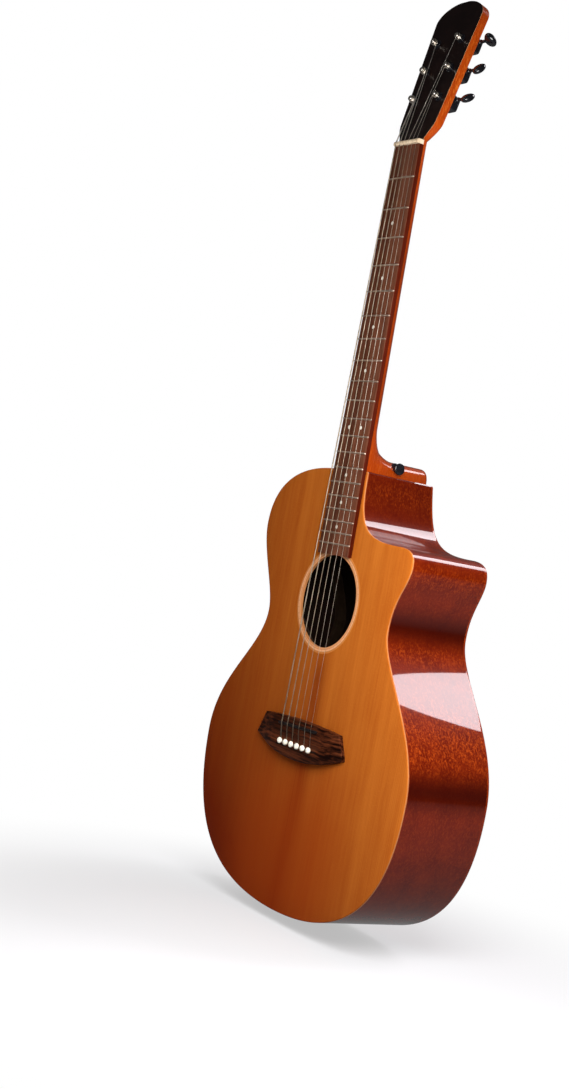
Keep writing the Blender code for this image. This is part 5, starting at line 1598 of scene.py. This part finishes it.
    def build_dots(self) -> None:
        """Round pearl dots between the frets, and small ones along the board's bass edge."""
        plan, octave, size = self.plan, self.octave_fret, self.dot_radius
        spots = [(0.0, n) for n in self.dot_frets]
        spots += [(side * self.dot_offset, octave) for side in (-1, 1)]
        profile = [(0, -0.00009), (0.8 * size, -0.00009), (0.95 * size, -0.00006), (size, 0.0),
                   (size, 0.0010), (0, 0.0010)]
        parts = []
        for x, number in spots:
            z = (plan.fret_z(number) + plan.fret_z(number - 1)) / 2
            y = plan.front_y - plan.board_thickness + x * x / (2 * plan.board_radius)
            place = Matrix.Translation((x, y, z)) @ Matrix.Rotation(-pi / 2, 4, "X") \
                @ Matrix.Rotation(x / plan.board_radius, 4, "Y")
            parts.append(skin("dot", moved(turned(profile, 28), place), [PEARL]))
        dress(merged("board_dots", parts), Slot.INLAY)
        small = [(radius * 0.5, height * 0.8) for radius, height in profile]
        parts = []
        for number in (*self.dot_frets, octave, octave + 0.35):
            z = (plan.fret_z(number) + plan.fret_z(number - 1)) / 2
            place = Matrix.Translation((-float(plan.neck_half(z)),
                                        plan.front_y - self.side_dot_drop, z)) \
                @ Matrix.Rotation(pi / 2, 4, "Y")
            parts.append(skin("side_dot", moved(turned(small, 16), place), [PEARL]))
        dress(merged("side_dots", parts), Slot.INLAY)

    def build_nut(self) -> None:
        """Bone nut: its top is a soft arc along Z, dipped where each string lies."""
        plan, gap = self.plan, self.plan.seat_gap
        half, thick = plan.nut_width / 2, plan.nut_thickness
        x = np.concatenate([[-half, -half + 0.0001, -half + 0.0004], np.linspace(
            -half + 0.001, half - 0.001, 240), [half - 0.0004, half - 0.0001, half]])
        end = np.clip((half - abs(x)) / 0.0010, 0, 1)
        top = self.nut_height - 0.0006 * (1 - np.sqrt(1 - (1 - end) ** 2))
        for index in range(STRINGS):
            radius = plan.string_radii[index] + self.slot_margin
            seat = plan.front_y - plan.nut_string_y(index)
            off = abs(x - plan.nut_x(index))
            slot = seat - np.sqrt(np.maximum(radius ** 2 - off ** 2, 0))
            top = np.where(off < radius, np.minimum(top, slot), top)
        shape = [(gap, 0.0), (gap, 0.82), (0.0007, 0.94), (0.0013, 0.985), (0.0026, 1.0),
                 (0.0040, 0.985), (0.0047, 0.94), (thick, 0.84), (thick, 0.0), (gap, 0.0)]
        grid = np.stack([np.stack([x, plan.front_y - gap - (top - gap) * high,
                                   np.full_like(x, plan.nut_z + z)], -1)
                         for z, high in shape], 1)
        nut = skin("nut_block", grid, [BONE], caps=True)
        dress(nut, Slot.BONE, ROOT, "nut")

    def build(self) -> None:
        """Build the neck's pieces."""
        self.build_shaft()
        self.build_face()
        self.build_board()
        self.build_frets()
        self.build_dots()
        self.build_nut()


# ---------------------------------------------------------------- strings


@dataclass
class Strings:
    """Six strings from the bridge to the posts, and the turns that each post carries."""

    plan: Layout
    post_radius: float = 0.0030
    rise: Pair = (0.0030, 0.0070)
    wound: int = 4
    most_turns: float = 6.0
    least_turns: float = 1.2
    turn_pitch: float = 2.1

    def end(self, post: Post) -> np.ndarray:
        """Find where a string meets the turns on its post, on the side towards the middle.

        Args:
            post: the string's machine.

        Returns:
            The point where a line from the nut touches the turns.
        """
        plan, index = self.plan, post.index
        radius = plan.string_radii[index]
        start = plan.head.inverted() @ Vector((plan.nut_x(index), plan.nut_string_y(index),
                                               plan.nut_z + plan.nut_thickness))
        flat = Vector((post.x - start.x, post.height - start.z))
        off = self.post_radius + 3 * radius + plan.seat_gap
        turn = post.side * off / flat.length
        heading = Vector((flat.x * cos(turn) - flat.y * sin(turn),
                          flat.x * sin(turn) + flat.y * cos(turn))).normalized()
        touch = Vector((start.x, start.z)) + heading * (flat.length ** 2 - off ** 2) ** 0.5
        return np.array(plan.head @ Vector((touch.x, -plan.veneer_face - sum(self.rise) / 2,
                                            touch.y)))

    def path(self, post: Post) -> np.ndarray:
        """Lay a string's axis from under the bridge to its post, bent at each bearing.

        Args:
            post: the string's machine.

        Returns:
            Points of the axis.
        """
        plan, index = self.plan, post.index
        radius, x = plan.string_radii[index], plan.pin_x(index)
        drop = plan.pin_z + 0.0035
        crest = plan.front_y - plan.saddle_height - radius
        edge = plan.front_y - plan.bridge_height - radius
        saddle = plan.saddle_z + plan.saddle_slant * x / plan.saddle_length
        nut_x, nut_y = plan.nut_x(index), plan.nut_string_y(index)
        knots = [(x, plan.front_y + 0.004, drop), (x, edge + 3 * radius, drop),
                 (x, edge + radius, drop + 0.0004), (x, edge, plan.pin_z + 0.0046),
                 (x, crest + 0.0002, saddle - 0.0009), (x, crest, saddle),
                 (x, crest, saddle + 0.0009), (nut_x, nut_y, plan.nut_z + 0.0001),
                 (nut_x, nut_y, plan.nut_z + 0.004),
                 (nut_x, nut_y + 0.0002, plan.nut_z + plan.nut_thickness)]
        ahead = np.array(knots + [tuple(self.end(post))])
        counts = [2, 2, 2, 3, 2, 2, 40, 2, 2, 12]
        runs = [a + (b - a) * np.linspace(0, 1, n, endpoint=False)[:, None]
                for a, b, n in zip(ahead, ahead[1:], counts)]
        return np.vstack(runs + [ahead[-1:]])

    def build(self) -> None:
        """Build each string, and its turns as a helix about the post."""
        for post in posts():
            radius = self.plan.string_radii[post.index]
            finish = ROUND_WIRE if post.index < self.wound else PLAIN_WIRE
            grid, sheet = tube(self.path(post), radius, 12)
            wire = skin(f"wire_{post.number}", grid, [finish], caps=True, sheet=sheet, sharp=60)
            dress(wire, Slot.STRING, ROOT, f"string_{post.number}")
            self.build_turns(post, radius, finish)

    def build_turns(self, post: Post, radius: float, finish: Finish) -> None:
        """Wind a helix that climbs one wire's width a turn between the two rises.

        Args:
            post: the string's machine.
            radius: the string's radius.
            finish: the string's finish.
        """
        pitch = self.turn_pitch * radius
        count = min(self.most_turns, (self.rise[1] - self.rise[0]) / pitch - 0.6)
        count = max(count, self.least_turns)
        angle = np.linspace(0, 2 * pi * count, 120)
        climb = self.plan.veneer_face + sum(self.rise) / 2 \
            + np.linspace(-0.5, 0.5, 120) * count * pitch
        ring = self.post_radius + radius * 0.95
        path = np.stack([ring * np.cos(angle), ring * np.sin(angle) * post.side, climb], 1)
        place = self.plan.head @ Matrix.Translation((post.x, 0, post.height)) \
            @ Matrix.Rotation(pi / 2, 4, "X")
        grid, sheet = tube(path, radius * 0.98, 10, (0, 0, 1))
        turns = skin(f"turns_{post.number}", moved(grid, place), [finish], caps=True, sheet=sheet,
                     sharp=60)
        dress(turns, Slot.STRING, f"post_{post.number}")


# ---------------------------------------------------------------- tuning machines


@dataclass
class Tuners:
    """Six enclosed machines: housing on the head's back, knob on its worm, post in its gear."""

    plan: Layout
    depth: float = 0.0105
    half: float = 0.0080
    below: float = 0.0070
    above: float = 0.0100
    edge: float = 0.0022
    tab_half: Pair = (0.0044, 0.0066)
    tab_drop: float = 0.0099
    screw_drop: float = 0.0122
    worm_offset: float = 0.0057
    stem: float = 0.0192
    button: float = 0.0130
    button_half: float = 0.0085
    button_thick: float = 0.0043
    shaft: float = 0.0030
    post_rise: float = 0.0095
    knob_turns: tuple[float, ...] = (12, 68, 30, 66, -30, -42)

    @property
    def back(self) -> float:
        """Depth of the housings' seats behind the head's face."""
        return self.plan.head_thick + self.plan.seat_gap

    def seat(self, post: Post) -> Matrix:
        """Frame of one machine: X across, Y out of the head's back, Z up the head."""
        return self.plan.head @ Matrix.Translation((post.x, 0, post.height))

    def rounded(self, half: Pair, centre: Pair, profile: list[Pair],
                power: float = 7.0) -> np.ndarray:
        """Carry superellipse sections along Y, drawn in by a margin at each depth.

        Args:
            half: half sizes in X and Z.
            centre: middle in X and Z.
            profile: pairs of depth and margin; a margin of a half size closes the end.
            power: squareness of the sections.

        Returns:
            Grid of points.
        """
        angle = np.linspace(0, 2 * pi, 65)
        depth, margin = np.array(profile, float).T
        across, along = np.round((np.cos(angle), np.sin(angle)), 12)
        x = np.sign(across) * abs(across) ** (2 / power)
        z = np.sign(along) * abs(along) ** (2 / power)
        wide = np.maximum(half[0] - margin, 0)[:, None] * x + centre[0]
        tall = np.maximum(half[1] - margin, 0)[:, None] * z + centre[1]
        return joined(wide, depth[:, None], tall)

    def build_housing(self, post: Post) -> None:
        """Cast cover with rounded edges, its screw tab, screw, bushing and washer.

        Args:
            post: the machine.
        """
        seat, edge = self.seat(post), self.edge
        back = self.plan.head_thick + 0.0001
        deep = back + self.depth
        size = (self.half, (self.above + self.below) / 2)
        close_in = min(size)
        cover = [(back, close_in), (back, 0.0002), (back + 0.0003, 0.0)]
        cover += [(deep - edge + edge * sin(a), edge * (1 - cos(a)))
                  for a in np.linspace(0, pi / 2, 8)]
        cover += [(deep, 0.0045), (deep, close_in)]
        tab = [(back, 0.0043), (back, 0.0001), (back + 0.0017, 0.0), (back + 0.0022, 0.0004),
               (back + 0.0024, 0.0012), (back + 0.0024, 0.0043)]
        screw = [(0.0, back + 0.0032), (0.0012, back + 0.0031), (0.0019, back + 0.0027),
                 (0.0021, back + 0.0023), (0.0021, back + 0.0010), (0.0, back + 0.0010)]
        rim, thick = self.plan.veneer_face, self.plan.head_thick
        ring = [(0.0032, rim + 0.0004), (0.0032, rim + 0.0023), (0.0036, rim + 0.0026),
                (0.0043, rim + 0.0026), (0.0046, rim + 0.0022), (0.0046, rim + 0.0006),
                (0.0053, rim + 0.0005), (0.0054, rim + 0.0001), (0.0054, rim - 0.0003),
                (0.0032, rim - 0.0003), (0.0032, rim + 0.0004)]
        sleeve = [(0.0033, -thick), (0.0045, -thick), (0.0045, rim - 0.0001),
                  (0.0033, rim - 0.0001), (0.0033, -thick)]
        spin = Matrix.Translation((0, 0, -self.screw_drop)) @ Matrix.Rotation(-pi / 2, 4, "X")
        front = seat @ Matrix.Rotation(pi / 2, 4, "X")
        middle = (0.0, (self.above - self.below) / 2)
        ear = self.rounded(self.tab_half, (0.0, -self.tab_drop), tab, 4.0)
        shapes = [("cover", self.rounded(size, middle, cover), seat, True),
                  ("tab", ear, seat, True),
                  ("screw", turned(screw, 24), seat @ spin, False),
                  ("collar", turned(ring, 40), front, False),
                  ("sleeve", turned(sleeve, 32), front, False)]
        whole = merged(f"machine_{post.number}", [
            skin(name, moved(grid, place), [TUNER_BLACK], caps=caps)
            for name, grid, place, caps in shapes])
        dress(whole, Slot.BLACK, ROOT, f"tuner_housing_{post.number}")

    def build_knob(self, post: Post) -> None:
        """Button: flattened ellipses whose width swells and eases, on a thin waisted stem.

        Args:
            post: the machine.
        """
        stem, length = self.stem, self.button
        root = [(-0.0060, 0.0013), (0.0060, 0.0013), (0.0062, 0.0016), (0.0085, 0.0016),
                (0.0092, 0.0026), (0.0104, 0.0027), (0.0112, 0.0018), (0.0182, 0.0018),
                (stem, 0.0024)]
        shape = eased([(0.0, 0.34), (0.10, 0.64), (0.26, 0.90), (0.45, 1.0), (0.64, 1.0),
                       (0.82, 0.84), (0.94, 0.56), (1.0, 0.30)], 26, 5)
        thick = eased([(0.0, 0.60), (0.10, 0.80), (0.26, 0.96), (0.45, 1.0), (0.64, 1.0),
                       (0.82, 0.86), (0.94, 0.60), (1.0, 0.30)], 26, 5)
        height, round_half = [h for h, _ in root], [r for _, r in root]
        share = shape[1:, 0]
        flat = np.interp(share, thick[:, 0], thick[:, 1])
        level = [*height, *(stem + length * share), stem + length - 0.0001,
                 stem + length - 0.0001]
        wide = [*round_half, *(self.button_half * shape[1:, 1]), 0.0016, 0.0]
        deep = [*round_half, *(self.button_thick * flat), 0.0008, 0.0]
        angle = np.linspace(0, 2 * pi, 49)
        grid = joined(np.outer(wide, np.cos(angle)), np.outer(deep, np.sin(angle)),
                      np.array(level)[:, None])
        axis = Matrix.Translation((0, self.back + self.depth / 2, self.worm_offset)) \
            @ Matrix.Rotation(post.side * pi / 2, 4, "Y") \
            @ Matrix.Rotation(radians(self.knob_turns[post.index]), 4, "Z")
        knob = skin(f"button_{post.number}", moved(grid, self.seat(post) @ axis), [TUNER_BLACK],
                    caps=True, sharp=50)
        dress(knob, Slot.BLACK, f"knob_{post.number}", f"tuner_knob_{post.number}")

    def build_post(self, post: Post) -> None:
        """Post: a shaft that widens to its gear below and ends in a domed cap above.

        Args:
            post: the machine.
        """
        wide, face = self.shaft, self.plan.veneer_face
        low, gear = 0.0015 - self.back - self.depth, -self.back - self.depth / 2
        top = face + self.post_rise
        profile = [(0.0, low), (0.0024, low), (wide, low + 0.0006), (wide, gear - 0.0018),
                   (0.0034, gear - 0.0018), (0.0034, gear + 0.0018), (wide, gear + 0.0018),
                   (wide, face + 0.0012), (0.0028, face + 0.0022), (0.0027, face + 0.0036),
                   (0.0028, face + 0.0060), (wide, face + 0.0074)]
        profile += [(wide - 0.0012 * (1 - cos(a)), top - 0.0012 + 0.0010 * sin(a))
                    for a in np.linspace(0.1, pi / 2, 6)] + [(0.0008, top - 0.0001), (0.0, top)]
        place = self.seat(post) @ Matrix.Rotation(pi / 2, 4, "X")
        shaft = skin(f"post_shaft_{post.number}", moved(turned(profile, 36), place), [NICKEL])
        dress(shaft, Slot.STEEL, f"post_{post.number}", f"tuner_post_{post.number}")

    def build(self) -> None:
        """Build all six machines."""
        for post in posts():
            self.build_housing(post)
            self.build_knob(post)
            self.build_post(post)


# ---------------------------------------------------------------- strap hardware


@dataclass
class StrapHardware:
    """End pin at the tail and strap button on the heel, both turned."""

    plan: Layout
    head: float = 0.0066
    waist: float = 0.0042
    base: float = 0.0062
    rim_share: float = 0.86
    heel_side: float = 0.0190
    heel_drop: float = 0.0425
    heel_share: float = 0.6

    def profile(self, length: float, shank: float, thin: float) -> list[Pair]:
        """Draw the profile of a button that stands on its base at height 0.

        Args:
            length: the button's length.
            shank: length of the shank below its base.
            thin: radius of the shank.

        Returns:
            Pairs of radius and height: waisted, with a round rim and a dished end.
        """
        base, waist, head, high = self.base, self.waist, self.head, self.rim_share * length
        cup = [(base, 0.0002), (base, 0.10 * length), (base - 0.0006, 0.17 * length),
               (waist + 0.0004, 0.32 * length), (waist, 0.46 * length),
               (waist + 0.0003, 0.62 * length), (head - 0.0006, 0.76 * length)]
        rim = [(head - 0.0010 + 0.0010 * cos(a), high + 0.0012 * sin(a))
               for a in np.linspace(-0.9, pi / 2, 8)]
        dish = [(head - 0.0016, high + 0.0013), (head - 0.0022, length), (0.0, length)]
        return [(0.0, -shank), (thin, -shank * 0.85), (thin, 0.0)] + cup + rim + dish

    def build(self) -> None:
        """Build both buttons with their shanks."""
        plan = self.plan
        tail = Matrix.Translation((0, 0, plan.tail_z)) @ Matrix.Rotation(pi, 4, "X")
        heel = Matrix.Translation((self.heel_side, plan.front_y + self.heel_drop,
                                   plan.top_z + plan.heel_shelf * self.heel_share)) \
            @ Matrix.Rotation(pi / 2, 4, "Y")
        for name, sizes, place, node in (
                ("end_button", (0.0125, 0.0160, 0.0030), tail, "end_pin"),
                ("heel_button_body", (0.0115, 0.0140, 0.0016), heel, "heel_strap_button")):
            grid = moved(turned(self.profile(*sizes), 48), place)
            dress(skin(name, grid, [TUNER_BLACK]), Slot.BLACK, ROOT, node)


# ---------------------------------------------------------------- studio


@dataclass(frozen=True)
class Lamp:
    """Soft lamp: where it is, how it shines and what it lights.

    An aim turns it away from straight down. An unmirrored lamp isn't seen in shiny surfaces, and
    a lamp for gleam lights nothing, and is only seen in metal and pearl.
    """

    name: str
    place: Triple
    size: Pair
    glow: float
    aim: Triple | None = None
    turn: float = 0.0
    tint: Triple = (1.0, 1.0, 1.0)
    mirrored: bool = True
    for_gleam: bool = False


@dataclass
class Studio:
    """Camera, pale floor and soft lamps."""

    place: Triple = (1.4829, -1.1047, 0.41465)
    yaw: float = radians(56.10)
    pitch: float = radians(0.39)
    roll: float = radians(10.425)
    lens: float = 54.57
    shift: Pair = (-0.01154, 0.00882)
    sensor: float = 36.0
    floor_half: float = 30.0
    floor_drop: float = 0.0004
    floor_tone: Triple = (0.36, 0.355, 0.365)
    floor_lift: float = 0.48
    shade_place: Triple = (0.10, -0.12, 0.0)
    shade_fade: Pair = (0.20, 0.58)
    dusk_fade: Pair = (0.5, 2.6)
    dusk: Pair = (0.20, 0.02)
    bright_way: Triple = (-0.8, 0.6, 0.0)
    bright_fade: Pair = (0.45, 0.90)
    mirrored_room: Pair = (0.07, 0.03)
    matt_room: float = 0.20
    lamps: tuple[Lamp, ...] = (
        Lamp("key", (0.54, -0.36, 0.60), (0.45, 0.45), 13.6, (0.05, -0.06, 0.26),
             mirrored=False),
        Lamp("gleam", (0.53, -0.355, 0.595), (0.45, 0.45), 13.6, (0.05, -0.06, 0.26),
             for_gleam=True),
        Lamp("window", (0.618, 1.883, 2.40), (0.90, 1.40), 10.0, turn=-35.0,
             tint=(0.96, 0.92, 0.97)),
        Lamp("window_pane", (-0.58, 1.75, 2.40), (0.65, 0.90), 0.30, tint=(1.0, 0.85, 0.95)),
        Lamp("window_side", (-1.28, 1.95, 2.40), (0.40, 0.90), 0.20, tint=(1.0, 0.85, 0.95)),
        Lamp("fill", (-0.2, -1.9, 1.6), (1.6, 1.2), 0.66, (0.0, 0.0, 0.5)),
        Lamp("back", (0.3, 2.3, 1.0), (2.4, 1.6), 2.0, (0.0, 0.0, 0.45), mirrored=False),
    )

    def back(self) -> Vector:
        """Direction from the guitar to the camera."""
        return Vector((sin(self.yaw) * cos(self.pitch), -cos(self.yaw) * cos(self.pitch),
                       sin(self.pitch)))

    def add_camera(self) -> None:
        """Rolled camera at its measured place."""
        back = self.back()
        right = (-back).cross(Vector((0, 0, 1))).normalized()
        up = right.cross(-back)
        level = cos(self.roll) * right + sin(self.roll) * up
        top = -sin(self.roll) * right + cos(self.roll) * up
        data = bpy.data.cameras.new("camera")
        data.lens, data.sensor_width = self.lens, self.sensor
        data.shift_x, data.shift_y = self.shift
        data.clip_start, data.clip_end = 0.05, 60.0
        camera = put("camera", data)
        camera.matrix_world = Matrix.Translation(self.place) @ Matrix(
            (level, top, back)).transposed().to_4x4()
        bpy.context.scene.camera = camera

    def add_lamp(self, lamp: Lamp) -> None:
        """Hang a soft rectangular lamp; its power is its glow times pi and its area.

        Args:
            lamp: the lamp.
        """
        data = bpy.data.lights.new(lamp.name, "AREA")
        data.shape = "RECTANGLE"
        data.size, data.size_y = lamp.size
        data.energy = lamp.glow * pi * lamp.size[0] * lamp.size[1]
        data.color = lamp.tint
        obj = put(lamp.name, data)
        obj.location = lamp.place
        if lamp.aim:
            way = Vector(lamp.aim) - Vector(lamp.place)
            obj.rotation_euler = way.to_track_quat("-Z", "Y").to_euler()
        else:
            obj.rotation_euler = (0, 0, radians(lamp.turn))
        obj.visible_camera = False
        obj.visible_glossy = lamp.mirrored
        if lamp.for_gleam:
            obj.visible_diffuse = False
            obj.light_linking.receiver_collection = self.gleaming()

    def gleaming(self) -> bpy.types.Collection:
        """Collect the pieces that wear metal or pearl, for the lamp that only they mirror.

        Returns:
            A collection of them.
        """
        bright = {finish.name for finish in GLEAMING}
        group = bpy.data.collections.new("gleaming")
        for obj in bpy.context.scene.objects:
            if obj.type == "MESH" and bright & {slot.name for slot in obj.data.materials if slot}:
                group.objects.link(obj)
        return group

    def add_floor(self) -> None:
        """Wide pale floor under the tail that fades to white away from the guitar.

        The fade rises with the distance from the shaded place. Shiny surfaces see dusk instead,
        which falls with the same distance.
        """
        mesh = bpy.data.meshes.new("floor")
        half, low = self.floor_half, -self.floor_drop
        mesh.from_pydata([(-half, -half, low), (half, -half, low), (half, half, low),
                          (-half, half, low)], [], [(0, 1, 2, 3)])
        floor = put("floor", mesh)
        paint = bpy.data.materials.new("studio_floor")
        paint.use_nodes = True
        bench = Bench(paint.node_tree)
        spot = bench.place()
        far = bench.node("ShaderNodeVectorMath", {0: spot, 1: self.shade_place},
                         operation="DISTANCE")["Value"]
        path = bench.node("ShaderNodeLightPath")
        seen = path["Is Camera Ray"]
        shiny = path["Is Glossy Ray"].top(path["Is Transmission Ray"])
        matt = bench.node("ShaderNodeBsdfDiffuse", {"Color": (*self.floor_tone, 1)})["BSDF"]
        lift = bench.node("ShaderNodeEmission", {"Strength": seen * self.floor_lift})["Emission"]
        lit = bench.node("ShaderNodeAddShader", {0: matt, 1: lift})["Shader"]
        white = bench.node("ShaderNodeEmission", {"Strength": 1.0})["Emission"]
        fade = far.rise(*self.shade_fade) * seen
        mixed = bench.node("ShaderNodeMixShader", {0: fade, 1: lit, 2: white})["Shader"]
        near, always = self.dusk
        dusk = bench.node("ShaderNodeEmission", {
            "Strength": (1.0 - far.rise(*self.dusk_fade)) * near + always})["Emission"]
        final = bench.node("ShaderNodeMixShader", {0: shiny, 1: mixed, 2: dusk})["Shader"]
        bench.node("ShaderNodeOutputMaterial", {"Surface": final})
        mesh.materials.append(paint)

    def add_world(self) -> None:
        """White all round for the camera; shiny surfaces see white ahead and dimmer behind."""
        world = bpy.data.worlds.new("studio")
        bpy.context.scene.world = world
        world.use_nodes = True
        bench = Bench(world.node_tree)
        path = bench.node("ShaderNodeLightPath")
        way = bench.node("ShaderNodeTexCoord")["Generated"]
        ahead = bench.node("ShaderNodeVectorMath", {0: way, 1: self.bright_way},
                           operation="DOT_PRODUCT")["Value"]
        gain, least = self.mirrored_room
        room = ahead.rise(*self.bright_fade) * gain + least
        shiny = path["Is Glossy Ray"].top(path["Is Transmission Ray"])
        other = shiny * room + (1.0 - shiny) * self.matt_room
        seen = path["Is Camera Ray"]
        level = seen + (1.0 - seen) * other
        glow = bench.node("ShaderNodeBackground",
                          {"Color": (1, 1, 1, 1), "Strength": level})["Background"]
        bench.node("ShaderNodeOutputWorld", {"Surface": glow})

    def build(self) -> None:
        """Set up the camera, the floor, the world and the lamps."""
        self.add_camera()
        self.add_floor()
        self.add_world()
        for lamp in self.lamps:
            self.add_lamp(lamp)
        bpy.context.scene.view_settings.view_transform = "Standard"


def main() -> None:
    """Build the guitar's sub-assemblies and the studio, in order."""
    logging.basicConfig(level=logging.INFO, format="%(name)s %(message)s")
    plan = Layout()
    for part in (Body(plan), Bridge(plan), Neck(plan), Strings(plan), Tuners(plan),
                 StrapHardware(plan), Studio()):
        part.build()


if __name__ == "__main__":
    main()
